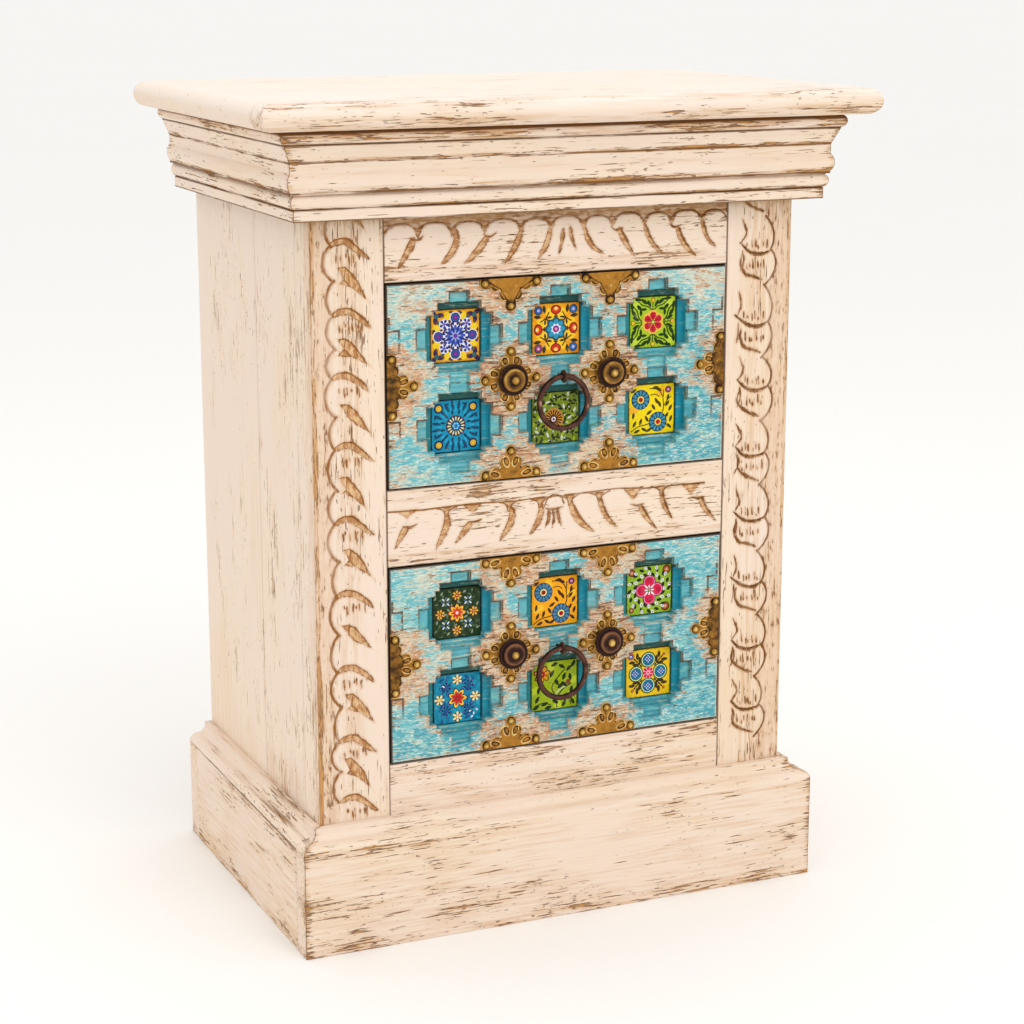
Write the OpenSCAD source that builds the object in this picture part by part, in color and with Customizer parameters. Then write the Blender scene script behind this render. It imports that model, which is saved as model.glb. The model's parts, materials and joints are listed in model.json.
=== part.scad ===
// Bedside table with two drawers: painted wood carcass, stepped-cross drawer fronts
// set with glazed tiles and dressed with brass plates, knobs and ring pulls.
// Millimetres. X runs along the front, Y to the back, Z up; the origin is at the
// centre of the footprint of the whole table, on the floor.

/* [Carcass] */
// Width of the body across the front
body_w = 378; // [366:2:440]
// Depth of the body, front of the frame to the back
body_d = 266; // [250:2:320]
// Thickness of the side boards
side_t = 18; // [14:1:22]
// Distance of the joint between the two side boards from the front
side_joint = 122; // [100:2:160]
// Thickness of the back boards
back_t = 10; // [6:1:14]
// Thickness of the floor board
floor_t = 12; // [8:1:16]
// Height of the floor board's underside
floor_z = 62; // [50:2:80]

/* [Face frame] */
// Width of each carved stile
stile_w = 54; // [48:1:58]
// Thickness of the stiles and rails
frame_t = 32; // [28:1:36]
// Height of the sill under the lower drawer
lower_z = 131.5; // [120:0.5:140]
// Height of each drawer opening
open_h = 147.5; // [144:0.5:152]
// Height of the rail between the drawers
mid_rail_h = 56; // [52:1:60]
// Height of the top rail that shows under the crown
top_rail_h = 46.5; // [30:0.5:80]

/* [Top and crown] */
// Thickness of the top board
top_t = 19; // [16:1:24]
// Overhang of the top board at the front and sides
top_over = 47; // [40:1:56]
// Width of the nosing strip along the front of the top
nosing_w = 26; // [20:1:34]
// Projection of the crown's bottom fillet
fillet_out = 16.5; // [12:0.5:18]
// Height of the crown's bottom fillet
fillet_h = 8; // [5:0.5:10]
// Height of the crown's lower bead
low_bead_h = 10.5; // [9:0.5:12]
// Projection of the crown's lower bead
low_bead_out = 19.4; // [18.5:0.1:20.5]
// Height of the crown's broad band
band_h = 21.5; // [19:0.5:23]
// Projection of the crown's broad band at its swell
band_out = 22.3; // [21.5:0.1:23.5]
// Swell of the crown's broad band
band_swell = 2.3; // [1:0.1:2.8]
// Radius of the swell
band_r = 10; // [9:0.5:12]
// Height of the swell's crest over the lower bead
band_peak = 8; // [6:0.5:11]
// Height of the crown's sloping member
slope_h = 12; // [9:0.5:14]
// Projection of the crown's sloping member at its top
slope_out = 25.2; // [24:0.2:26]
// Height of the crown's top bead
top_bead_h = 10; // [8:0.5:12]
// Projection of the crown's top bead
top_bead_out = 28.5; // [27:0.5:31]

/* [Plinth] */
// Thickness of the plinth boards
plinth_t = 19; // [17:1:22]
// Height of the plinth's plain face
plinth_face_h = 78; // [70:1:84]
// Radius of the plinth's round and of the cove above it
plinth_r = 6.5; // [5:0.5:7]
// Height of the narrow step at the top of the plinth
plinth_cap_h = 2; // [1.5:0.5:4]

/* [Drawers] */
// Gap round each drawer front
front_gap = 1.2; // [0.8:0.1:1.6]
// Thickness of the drawer fronts
front_t = 20; // [18:1:20]
// Thickness of the drawer sides and backs
box_t = 12; // [10:1:13]
// Room above the drawer sides
box_room = 6; // [4:1:20]
// Thickness of the drawer bottoms
base_t = 5; // [4:0.5:6]
// Height of the drawer bottom above the lower edge of the sides
base_up = 9; // [7:1:12]
// Depth of the groove that holds the drawer bottom
groove = 5; // [4:0.5:6]
// Room for the drawer bottom at the bottom of its groove
slip = 0.1; // [0.05:0.05:0.4]
// Depth of the stop blocks behind each drawer
stop_d = 12; // [8:1:16]
// Width of wood under each drawer side
run_w = 16; // [14:1:18]
// Thickness of the runner and cleat strips
strip_t = 20; // [16:1:22]
// Height of the guides beside the drawers and of the stop blocks
guide_h = 18; // [14:1:24]
// Thickness of the kicker strips over the drawer sides
kick_t = 10; // [8:1:14]
// Radius of the screws through the cleats
screw_r = 2; // [1.5:0.1:2.5]
// Radius of the screws' heads
screw_head_r = 4; // [3.5:0.1:4.5]
// Thickness of the screws' heads
screw_head_t = 2; // [1.5:0.1:2.5]
// Depth of the screws in the top board
screw_bite = 10; // [7:1:13]
// Distance of the screws from the cleats' ends
screw_in = 30; // [20:1:50]
// Running clearance of the drawers on their strips
run_gap = 0.3; // [0.2:0.1:0.4]
// Play of the drawer sides inside the width of the drawer front
run_play = 1; // [0.5:0.1:1.5]

/* [Tiles and stepped crosses] */
// Side of the square tiles
tile_w = 38; // [34:0.5:38.5]
// Thickness of the tiles
tile_t = 6; // [5:0.5:7]
// Depth of the tiles' face below the drawer front
tile_sink = 8; // [7.6:0.1:8.6]
// Clearance round each tile
tile_gap = 0.4; // [0.3:0.1:0.6]
// Distance between the columns of tiles
col_pitch = 78.5; // [76:0.5:80]
// Distance between the two rows of tiles
row_pitch = 65; // [64:0.5:66]
// Width of the wide arms of a stepped cross
wide_arm_w = 32; // [28:1:34]
// Reach of the wide arms from the tile's centre
wide_arm_l = 25; // [23:0.5:26]
// Depth of the wide arms
wide_arm_d = 7.4; // [6:0.1:7.6]
// Width of the narrow arms
slim_arm_w = 14.5; // [12:0.5:16]
// Reach of the narrow arms past the wide ones
slim_arm_out = 7.5; // [6:0.5:7.5]
// Depth of the narrow arms
slim_arm_d = 2.8; // [2:0.1:3.6]

/* [Brass] */
// Thickness of the brass plates
plate_t = 1; // [0.8:0.1:1.4]
// Radius of the round middle of a plate
plate_r = 12.5; // [11.5:0.5:13]
// Distance from a plate's middle to the tacks at its points
ear_at = 20; // [19:0.1:20.4]
// Radius of the ear round each tack
ear_r = 3.3; // [3:0.1:3.4]
// Radius of the round petals beside each point
petal_r = 4.2; // [3.8:0.1:4.6]
// Width of the notch between two petals
notch_w = 1.2; // [0.8:0.1:1.6]
// Width of the strip to each ear
tip_w = 4.6; // [3.6:0.2:5.6]
// Radius of a tack's head
tack_r = 2.8; // [2.4:0.1:3]
// Height of a tack's head
tack_h = 1.6; // [1.2:0.1:2]
// Radius of a tack's shank
shank_r = 0.8; // [0.7:0.05:1]
// Depth of a tack's shank in the wood
shank_l = 8; // [5:0.5:10]
// Clearance round the shanks
pin_gap = 0.1; // [0.08:0.01:0.15]
// Radius of the nail through each knob
nail_r = 1.2; // [1:0.1:1.4]
// Radius of that nail's head
nail_head_r = 3.2; // [2.8:0.1:3.4]
// Height of that nail's head
nail_head_h = 2; // [1.5:0.1:2.5]
// Radius of a knob's flange
knob_r = 11.5; // [10:0.5:12]
// Radius of a knob's neck
neck_r = 7; // [6:0.5:8]
// Height of a knob's neck
neck_h = 3; // [2:0.5:4]
// Thickness of a knob's flange
flange_t = 2.4; // [2:0.2:3]
// Radius of a knob's dome
dome_r = 8.5; // [8.2:0.1:9]
// Height of a knob's dome
dome_h = 2.6; // [2:0.2:3.2]
// Radius of the flat seat on top of a knob
seat_r = 3.6; // [3.4:0.1:4]

/* [Ring pulls] */
// Radius of a ring, to the middle of its wire
ring_r = 19; // [17:0.5:19.5]
// Radius of the ring's wire
wire_r = 2.3; // [2:0.1:2.4]
// Distance of the ring's wire from the drawer front
ring_out = 6; // [5.8:0.1:7]
// Radius of the eye's wire
eye_wire_r = 1.1; // [0.9:0.05:1.2]
// Clearance of the ring in its eye
eye_gap = 0.3; // [0.2:0.05:0.4]
// Length of each leg of the eye turned over behind the front
leg_l = 11; // [8:1:14]

/* [Hidden] */
$fn = 48;
eps = 0.01;
cut = 1;
top_w = body_w + 2 * top_over;
top_d = body_d + top_over;
y_front = -top_d / 2 + top_over;
y_back = top_d / 2;
half_w = body_w / 2;
in_w = half_w - side_t;
open_w = body_w - 2 * stile_w;
upper_z = lower_z + open_h + mid_rail_h;
crown_h = fillet_h + low_bead_h + band_h + slope_h + top_bead_h;
crown_z = upper_z + open_h + top_rail_h;
z_under = crown_z + crown_h;
total_h = z_under + top_t;
y_in = y_front + frame_t;
y_back_in = y_back - back_t;
front_w = open_w - 2 * front_gap;
front_h = open_h - 2 * front_gap;
box_w = front_w - 2 * run_play;
box_in = box_w / 2 - box_t;
run_in = box_w / 2 - run_w;
y_box = y_front + front_t;
y_box_end = y_back_in - stop_d - run_gap;
plate_c = col_pitch / 2;
slim_arm_l = wide_arm_l + slim_arm_out;
eye_hole_r = wire_r + eye_gap;
y_joint = y_front + side_joint;
y_plinth_in = y_back - plinth_t;
back_w = 2 * in_w / 3;
box_h = open_h - run_gap - box_room;
knob_top = neck_h + flange_t + dome_h;

// Plates of a drawer: [x, height over the drawer's middle, angle of the first point, number of points].
rosette_spots = [[-plate_c, 0, 0, 4], [plate_c, 0, 0, 4]];
edge_spots = [
    [-plate_c, front_h / 2, 180, 3], [plate_c, front_h / 2, 180, 3],
    [-plate_c, -front_h / 2, 0, 3], [plate_c, -front_h / 2, 0, 3],
    [-front_w / 2, 0, -90, 3], [front_w / 2, 0, 90, 3]];
plate_spots = concat(rosette_spots, edge_spots);

cream = "#efe2cd";
bare = "#b98a5c";
turquoise = "#5cb8bd";
gold = "#b4893c";
dark_brass = "#5b3a2c";
glaze = "#e8b820";

// Height of a drawer's middle, and of its bottom's underside, for an opening with its sill at z0.
function middle_z(z0) = z0 + open_h / 2;
function base_z(z0) = z0 + run_gap + base_up;

// A block given by its lowest and highest corners.
module block(lo, hi) translate(lo) cube(hi - lo);

// Upright section swept along X, its first axis pointing to the front from y.
module along_x(y, x0, x1)
    translate([x0, y, 0]) rotate([90, 0, 90]) linear_extrude(x1 - x0) mirror([1, 0]) children();

// Upright section swept along Y, its first axis pointing outwards from x = at.
module along_y(at, y0, y1)
    translate([at, y1, 0]) rotate([90, 0, 0]) linear_extrude(y1 - y0) children();

// Crown section: fillet, bead, swelling band, slope and top bead.
module crown_section() {
    z1 = fillet_h;
    z2 = z1 + low_bead_h;
    z3 = z2 + band_h;
    z4 = z3 + slope_h;
    band_in = band_out - band_swell;
    square([fillet_out, z1 + eps]);
    bead(low_bead_out, low_bead_h, z1);
    translate([0, z2 - eps]) square([band_in, band_h + 2 * eps]);
    translate([band_out - band_r, z2 + band_peak]) circle(band_r);
    polygon([[0, z3], [band_in, z3], [slope_out, z4], [slope_out, z4 + eps], [0, z4 + eps]]);
    bead(top_bead_out, top_bead_h, z4);
}

// Half-round nosing of height h that projects to x = out, with its foot at height z.
module bead(out, h, z) {
    translate([0, z]) square([out - h / 2, h]);
    translate([out - h / 2, z + h / 2]) circle(h / 2);
}

// Plinth section: plain face, round, cove and narrow cap.
module plinth_section() {
    cove_x = plinth_t - plinth_r;
    round_z = plinth_face_h;
    cove_z = round_z + plinth_r;
    square([plinth_t, round_z]);
    translate([0, round_z - eps]) square([cove_x, plinth_r + eps]);
    intersection() {
        translate([cove_x, round_z]) circle(plinth_r);
        translate([cove_x - eps, round_z - eps]) square(plinth_r + 2 * eps);
    }
    difference() {
        translate([0, cove_z - eps]) square([cove_x, plinth_r + eps]);
        translate([cove_x, cove_z + plinth_r]) circle(plinth_r);
    }
    translate([0, cove_z]) square([cove_x - plinth_r, plinth_r + plinth_cap_h]);
}

// Half-space on one side of the mitre plane through the front corner on side s.
module mitre(s, keep_front) {
    reach = top_d + top_w;
    translate([s * half_w, y_front, 0])
        linear_extrude(total_h)
            polygon(keep_front
                ? [[0, 0], [s * reach, -reach], [-s * reach, -reach], [-s * reach, 0]]
                : [[0, 0], [s * reach, -reach], [s * reach, reach], [0, reach]]);
}

// The whole top between y0 and y1, with round ends at the sides.
module round_ended(y0, y1) {
    r = top_t / 2;
    along_y(0, y0, y1) union() {
        translate([-top_w / 2 + r, z_under]) square([top_w - top_t, top_t]);
        for (s = [-1, 1]) translate([s * (top_w / 2 - r), z_under + r]) circle(r);
    }
}

module top_board()
    color(cream) difference() {
        round_ended(-top_d / 2 + nosing_w, y_back);
        at_screws() translate([0, 0, -cut]) cylinder(h = screw_bite + pin_gap + cut, r = screw_r + pin_gap);
    }

// Strip along the front of the top, rounded at the front as well.
module top_nosing() {
    r = top_t / 2;
    color(cream) intersection() {
        round_ended(-top_d / 2, -top_d / 2 + nosing_w);
        along_x(0, -top_w / 2, top_w / 2) union() {
            translate([0, z_under]) square([top_d / 2 - r, top_t]);
            translate([top_d / 2 - r, z_under + r]) circle(r);
        }
    }
}

module crown_front()
    color(cream) intersection() {
        along_x(y_front, -top_w / 2, top_w / 2) translate([0, crown_z]) crown_section();
        mitre(1, true);
        mitre(-1, true);
    }

module crown_side(s)
    color(cream) intersection() {
        translate([s * half_w, 0, 0])
            mirror([s < 0 ? 1 : 0, 0, 0])
                along_y(0, -top_d / 2, y_back) translate([0, crown_z]) crown_section();
        mitre(s, false);
    }

module stile(s)
    color(cream) block([s > 0 ? half_w - stile_w : -half_w, y_front, 0],
        [s > 0 ? half_w : -half_w + stile_w, y_in, z_under]);

module rail(z0, z1)
    color(cream) block([-open_w / 2, y_front, z0], [open_w / 2, y_in, z1]);

// Side board between y0 and y1, cut away for the back of the plinth.
module side_board(s, y0, y1)
    color(cream) mirror([s < 0 ? 1 : 0, 0, 0]) difference() {
        block([in_w, y0, 0], [half_w, y1, z_under]);
        block([in_w - cut, y_plinth_in, -cut], [half_w + cut, y_back + cut, plinth_face_h]);
    }

module back_board(i)
    color(bare) block([(i - 0.5) * back_w, y_back_in, plinth_face_h], [(i + 0.5) * back_w, y_back, z_under]);

module floor_board()
    color(bare) block([-in_w, y_in, floor_z], [in_w, y_plinth_in, floor_z + floor_t]);

module plinth_front()
    color(cream) intersection() {
        along_x(y_front, -half_w - plinth_t, half_w + plinth_t) plinth_section();
        along_y(0, -top_d / 2, y_back) union() {
            translate([-half_w, 0]) square([body_w, total_h]);
            for (s = [0, 1]) mirror([s, 0]) translate([half_w - eps, 0]) plinth_section();
        }
    }

// Side of the plinth: its plain face stops at the back board, its moulding runs on over it.
module plinth_side(s)
    color(cream) mirror([s < 0 ? 1 : 0, 0, 0]) difference() {
        along_y(half_w, y_front, y_back) plinth_section();
        block([half_w - cut, y_plinth_in, -cut], [half_w + plinth_t + cut, y_back + cut, plinth_face_h]);
    }

// Back board of the plinth, its ends showing at the sides.
module plinth_back()
    color(cream) block([-half_w - plinth_t, y_plinth_in, 0], [half_w + plinth_t, y_back, plinth_face_h]);

// A pair of strips along the sides of the carcass, x0 to x1 from the middle and z0 to z1 high.
module strips(x0, x1, z0, z1)
    color(bare) for (s = [0, 1]) mirror([s, 0, 0]) block([x0, y_in, z0], [x1, y_back_in, z1]);

module runners(z0) strips(run_in, in_w, z0 - strip_t, z0);

module guides()
    for (z0 = [lower_z, upper_z]) strips(open_w / 2, in_w, z0, z0 + guide_h);

module kickers()
    for (z0 = [lower_z, upper_z]) strips(run_in, in_w, z0 + open_h, z0 + open_h + kick_t);

// Blocks on the runners that the drawer backs meet.
module stops()
    color(bare) for (z0 = [lower_z, upper_z], s = [0, 1]) mirror([s, 0, 0])
        block([run_in, y_back_in - stop_d, z0], [open_w / 2, y_back_in, z0 + guide_h]);

// Places its children at the screws, where they enter the top.
module at_screws()
    for (s = [-1, 1], y = [y_in + screw_in, y_back_in - screw_in])
        translate([s * (in_w - strip_t / 2), y, z_under]) children();

module top_cleats()
    difference() {
        strips(in_w - strip_t, in_w, z_under - strip_t, z_under);
        at_screws() translate([0, 0, -strip_t - cut]) cylinder(h = strip_t + 2 * cut, r = screw_r + pin_gap);
    }

module cleat_screws()
    color("silver") at_screws() {
        translate([0, 0, -strip_t - eps]) cylinder(h = strip_t + eps + screw_bite, r = screw_r);
        translate([0, 0, -strip_t - screw_head_t]) cylinder(h = screw_head_t, r = screw_head_r);
    }

// Places its children at each tile of one row: row 1 is the top one, -1 the bottom one.
module at_tiles(z0, row)
    for (i = [-1 : 1]) translate([i * col_pitch, y_front, middle_z(z0) + row * row_pitch / 2]) children();

// A box sunk to depth d, x and z each way from the middle, its mouth towards the front.
module sink(x, z, d) block([-x, -cut, -z], [x, d, z]);

// A stepped cross sunk to three depths.
module stepped_cross() {
    pocket = tile_w / 2 + tile_gap;
    sink(slim_arm_l, slim_arm_w / 2, slim_arm_d);
    sink(slim_arm_w / 2, slim_arm_l, slim_arm_d);
    sink(wide_arm_l, wide_arm_w / 2, wide_arm_d);
    sink(wide_arm_w / 2, wide_arm_l, wide_arm_d);
    sink(pocket, pocket, tile_sink + tile_t);
}

// Tack places of one plate. The ears at the cut edge of a half plate are drawn in by their radius.
function tack_spots(p) = [for (k = [0 : p[3] - 1])
    let (a = p[2] + 90 * k, into = p[2] + 90, draw = p[3] == 3 && k != 1 ? ear_r : 0)
    [p[0] + ear_at * cos(a) + draw * cos(into), p[1] + ear_at * sin(a) + draw * sin(into)]];

// Places its children at the tacks of the given plates.
module at_tacks(z0, spots)
    for (p = spots, t = tack_spots(p)) translate([t[0], y_front, middle_z(z0) + t[1]]) children();

// A pin along Y from depth y0 to y1 behind the face.
module pin(r, y0, y1) translate([0, y0, 0]) rotate([-90, 0, 0]) cylinder(h = y1 - y0, r = r);

module drawer_front(z0) {
    zm = middle_z(z0);
    color(turquoise) difference() {
        block([-front_w / 2, y_front, z0 + front_gap], [front_w / 2, y_box, z0 + open_h - front_gap]);
        for (row = [-1, 1]) at_tiles(z0, row) stepped_cross();
        at_tacks(z0, plate_spots) pin(shank_r + pin_gap, -cut, shank_l + pin_gap);
        for (s = [-1, 1]) translate([s * plate_c, y_front, zm])
            pin(nail_r + pin_gap, -cut, shank_l + pin_gap);
        translate([0, y_front, zm]) pin(eye_wire_r + pin_gap, -cut, front_t + cut);
        block([-box_in - groove, y_box - groove, base_z(z0)],
            [box_in + groove, y_box + cut, base_z(z0) + base_t]);
    }
}

module drawer_side(s, z0)
    color(bare) mirror([s < 0 ? 1 : 0, 0, 0]) difference() {
        block([box_in, y_box, z0 + run_gap], [box_w / 2, y_box_end, z0 + run_gap + box_h]);
        block([box_in - cut, y_box - cut, base_z(z0)],
            [box_in + groove, y_box_end + cut, base_z(z0) + base_t]);
    }

module drawer_back(z0)
    color(bare) block([-box_in, y_box_end - box_t, base_z(z0) + base_t],
        [box_in, y_box_end, z0 + run_gap + box_h]);

module drawer_bottom(z0)
    color(bare) block([-box_in - groove + slip, y_box - groove + slip, base_z(z0)],
        [box_in + groove - slip, y_box_end, base_z(z0) + base_t]);

module tiles(z0, row)
    color(glaze) at_tiles(z0, row)
        block([-tile_w / 2, tile_sink, -tile_w / 2], [tile_w / 2, tile_sink + tile_t, tile_w / 2]);

// Outline of a plate: a round middle, and at each of four points two petals and an ear.
module plate_outline() {
    circle(plate_r);
    for (a = [0 : 90 : 270]) rotate(a) {
        translate([ear_at, 0]) circle(ear_r);
        translate([0, -tip_w / 2]) square([ear_at, tip_w]);
        for (s = [-1, 1]) translate([plate_r, s * (petal_r + notch_w / 2)]) circle(petal_r);
    }
}

// Plates standing on the face at the given places, kept within the drawer front.
module plates(z0, spots) {
    zm = middle_z(z0);
    color(gold) difference() {
        intersection() {
            union() {
                for (p = spots) translate([p[0], y_front, zm + p[1]])
                    rotate([90, 0, 0]) linear_extrude(plate_t) plate_outline();
                at_tacks(z0, spots) pin(ear_r, -plate_t, 0);
            }
            block([-front_w / 2, y_front - plate_t, zm - front_h / 2],
                [front_w / 2, y_front, zm + front_h / 2]);
        }
        at_tacks(z0, spots) pin(shank_r + pin_gap, -plate_t - cut, cut);
        for (p = spots) if (p[3] == 4)
            translate([p[0], y_front, zm]) pin(nail_r + pin_gap, -plate_t - cut, cut);
    }
}

// Low dome standing on the plane y = 0, towards the front.
module dome(r, h) {
    ball = (r * r + h * h) / (2 * h);
    rotate([90, 0, 0]) intersection() {
        translate([0, 0, h - ball]) sphere(ball);
        cylinder(h = h, r = r + cut);
    }
}

module tacks(z0)
    color(gold) at_tacks(z0, plate_spots) {
        translate([0, -plate_t, 0]) dome(tack_r, tack_h);
        pin(shank_r, -plate_t - tack_h / 2, shank_l);
    }

module knob_nails(z0)
    color(gold) for (s = [-1, 1]) translate([s * plate_c, y_front, middle_z(z0)]) {
        translate([0, -plate_t - knob_top, 0]) dome(nail_head_r, nail_head_h);
        pin(nail_r, -plate_t - knob_top - nail_head_h / 2, shank_l);
    }

// Turned knob: neck, flange with a round rim, and a dome with a flat seat for the nail.
module knob(s, z0) {
    z1 = neck_h + flange_t;
    color(dark_brass) translate([s * plate_c, y_front - plate_t, middle_z(z0)]) rotate([90, 0, 0])
        rotate_extrude() difference() {
            union() {
                square([neck_r, neck_h + eps]);
                bead(knob_r, flange_t, neck_h);
                polygon([[0, z1 - eps], [dome_r, z1 - eps], [dome_r, z1], [seat_r, knob_top], [0, knob_top]]);
            }
            translate([-cut, -cut]) square([nail_r + pin_gap + cut, knob_top + 2 * cut]);
        }
}

// Cotter eye: a round loop for the ring, a shank through the front, and legs turned over behind it.
module eye(z0)
    color(dark_brass) translate([0, y_front, middle_z(z0)]) {
        translate([0, -ring_out, 0]) rotate([0, 90, 0])
            rotate_extrude() translate([eye_hole_r + eye_wire_r, 0]) circle(eye_wire_r);
        pin(eye_wire_r, -ring_out + eye_hole_r + eye_wire_r, front_t + eye_wire_r);
        translate([-leg_l, front_t + eye_wire_r, 0])
            rotate([0, 90, 0]) cylinder(h = 2 * leg_l, r = eye_wire_r);
    }

module ring(z0)
    color(dark_brass) translate([0, y_front - ring_out, middle_z(z0) - ring_r]) rotate([90, 0, 0])
        rotate_extrude() translate([ring_r, 0]) circle(wire_r);

top_board();
top_nosing();
crown_front();
crown_side(-1);  // crown_left
crown_side(1);  // crown_right
stile(-1);  // stile_left
stile(1);  // stile_right
rail(upper_z + open_h, z_under);  // top_rail
rail(lower_z + open_h, upper_z);  // middle_rail
rail(floor_z, lower_z);  // bottom_rail
side_board(-1, y_in, y_joint);  // left_board_front
side_board(-1, y_joint, y_back);  // left_board_rear
side_board(1, y_in, y_joint);  // right_board_front
side_board(1, y_joint, y_back);  // right_board_rear
back_board(-1);  // back_board_left
back_board(0);  // back_board_middle
back_board(1);  // back_board_right
floor_board();
plinth_front();
plinth_side(-1);  // plinth_left
plinth_side(1);  // plinth_right
plinth_back();
runners(upper_z);  // upper_runners
runners(lower_z);  // lower_runners
guides();
kickers();
stops();
top_cleats();
cleat_screws();
drawer_front(upper_z);  // upper_front
drawer_side(-1, upper_z);  // upper_side_left
drawer_side(1, upper_z);  // upper_side_right
drawer_back(upper_z);  // upper_back
drawer_bottom(upper_z);  // upper_bottom
tiles(upper_z, 1);  // upper_tiles_top
tiles(upper_z, -1);  // upper_tiles_bottom
knob(-1, upper_z);  // upper_knob_left
knob(1, upper_z);  // upper_knob_right
knob_nails(upper_z);  // upper_knob_nails
plates(upper_z, rosette_spots);  // upper_rosettes
plates(upper_z, edge_spots);  // upper_edge_plates
tacks(upper_z);  // upper_tacks
eye(upper_z);  // upper_eye
ring(upper_z);  // upper_ring
drawer_front(lower_z);  // lower_front
drawer_side(-1, lower_z);  // lower_side_left
drawer_side(1, lower_z);  // lower_side_right
drawer_back(lower_z);  // lower_back
drawer_bottom(lower_z);  // lower_bottom
tiles(lower_z, 1);  // lower_tiles_top
tiles(lower_z, -1);  // lower_tiles_bottom
knob(-1, lower_z);  // lower_knob_left
knob(1, lower_z);  // lower_knob_right
knob_nails(lower_z);  // lower_knob_nails
plates(lower_z, rosette_spots);  // lower_rosettes
plates(lower_z, edge_spots);  // lower_edge_plates
tacks(lower_z);  // lower_tacks
eye(lower_z);  // lower_eye
ring(lower_z);  // lower_ring
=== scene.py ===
"""Finished surfaces of a bedside table: worn paint, carving, glazed tiles and aged brass."""

import json
import math

import bmesh
import bpy
import numpy as np
from bpy.props import FloatProperty, FloatVectorProperty, IntProperty, PointerProperty
from mathutils import Matrix, Vector
from mathutils.noise import noise as soft_noise

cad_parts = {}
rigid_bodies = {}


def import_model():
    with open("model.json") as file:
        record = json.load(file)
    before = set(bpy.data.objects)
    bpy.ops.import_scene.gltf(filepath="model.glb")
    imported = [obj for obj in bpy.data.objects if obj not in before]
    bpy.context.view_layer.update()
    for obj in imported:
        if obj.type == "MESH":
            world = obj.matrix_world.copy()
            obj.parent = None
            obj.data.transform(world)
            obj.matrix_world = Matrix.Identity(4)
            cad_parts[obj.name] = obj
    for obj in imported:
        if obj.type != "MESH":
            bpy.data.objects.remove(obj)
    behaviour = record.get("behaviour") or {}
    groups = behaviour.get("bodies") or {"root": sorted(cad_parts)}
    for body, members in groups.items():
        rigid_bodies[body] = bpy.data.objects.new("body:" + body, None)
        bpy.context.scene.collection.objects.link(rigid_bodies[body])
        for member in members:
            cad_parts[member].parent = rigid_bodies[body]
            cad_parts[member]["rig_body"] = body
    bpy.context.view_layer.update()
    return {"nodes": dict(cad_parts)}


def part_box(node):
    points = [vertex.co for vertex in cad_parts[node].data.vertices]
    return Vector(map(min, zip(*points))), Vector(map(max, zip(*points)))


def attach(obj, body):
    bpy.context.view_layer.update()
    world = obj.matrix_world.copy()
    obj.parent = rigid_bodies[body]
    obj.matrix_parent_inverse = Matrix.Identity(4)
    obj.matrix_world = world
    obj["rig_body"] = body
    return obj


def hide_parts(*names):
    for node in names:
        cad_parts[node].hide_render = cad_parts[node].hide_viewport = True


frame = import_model()
NODES = frame["nodes"]

bl_info = {
    "name": "Tiled bedside table",
    "version": (1, 0, 0),
    "blender": (4, 5, 0),
    "location": "View3D > Sidebar > Bedside table",
    "description": "Worn paint, carving, tiles and brass of a two-drawer bedside table",
    "category": "Object",
}

# Places and sizes are in millimetres of the table's own frame unless they are said to be metres.
MM = 0.001
QUARTER = math.pi / 2
DRAWERS = ("upper", "lower")
SIDES = (("left", -1), ("right", 1))
BODY_HALF = 189.0
OPENING_HALF = 135.0
OPENING_HALF_HEIGHT = 73.6
FRONT_HALF = 133.8
FRONT_HALF_HEIGHT = 72.55
TOP_LINE = 591.0
COLUMNS = (-78.5, 0.0, 78.5)
ROW_OFFSET = 32.5
TILE = 38
PLATE_X = 39.25


def middle_z(drawer):
    """Height of the middle of a drawer front."""
    lo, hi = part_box(drawer + "_front")
    return (lo.z + hi.z) / 2 / MM


# Front of the drawers and of the face frame, and the height of each drawer front's middle.
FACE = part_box("stile_left")[0].y / MM
MIDDLE = {drawer: middle_z(drawer) for drawer in DRAWERS}


def display(code):
    """Three parts from 0 to 1 of a display colour written as six hexadecimal digits."""
    return tuple(int(code[i : i + 2], 16) / 255 for i in (0, 2, 4))


def linear(colour):
    """Linear RGBA of a display colour, given as digits or as three parts."""
    parts = display(colour) if isinstance(colour, str) else tuple(colour)[:3]
    return tuple(c / 12.92 if c <= 0.04045 else ((c + 0.055) / 1.055) ** 2.4 for c in parts) + (1.0,)


def colour_property(name, description, code):
    return FloatVectorProperty(
        name=name, description=description, subtype="COLOR_GAMMA", size=3, min=0, max=1, default=display(code)
    )


def length_property(name, description, metres):
    return FloatProperty(name=name, description=description, default=metres, unit="LENGTH")


def angle_property(name, description, degrees):
    return FloatProperty(name=name, description=description, default=math.radians(degrees), subtype="ANGLE")


class PaintSettings(bpy.types.PropertyGroup):
    """Colours and wear of the painted wood."""

    cream: colour_property("Cream", "Cream paint of the carcass", "edd9c7")
    cream_low: colour_property("Cream shade", "Thin and dirty places of the cream paint", "e6caab")
    stain: colour_property("Stain", "Brown wash left in grooves and along edges", "c89355")
    wood: colour_property("Rubbed wood", "Wood where the paint is rubbed through", "be894e")
    wood_dark: colour_property("Dark scratch", "Dark wood in the fine scratches", "6e4a30")
    turquoise: colour_property("Turquoise", "Paint of the drawer fronts", "64b2bb")
    turquoise_deep: colour_property("Deep turquoise", "Paint inside the stepped crosses", "1b7f88")
    chalk: colour_property("Chalk", "Pale dry-brushed paint over the turquoise", "dbd8c2")
    bare: colour_property("Bare wood", "Unpainted wood of the back and the insides", "b98a5c")
    wear: FloatProperty(name="Wear", description="How far paint is rubbed off", default=0, min=-0.1, max=0.1)
    ease: length_property("Eased edge", "Width of the rounding of the boards' edges", 0.0007)


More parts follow.
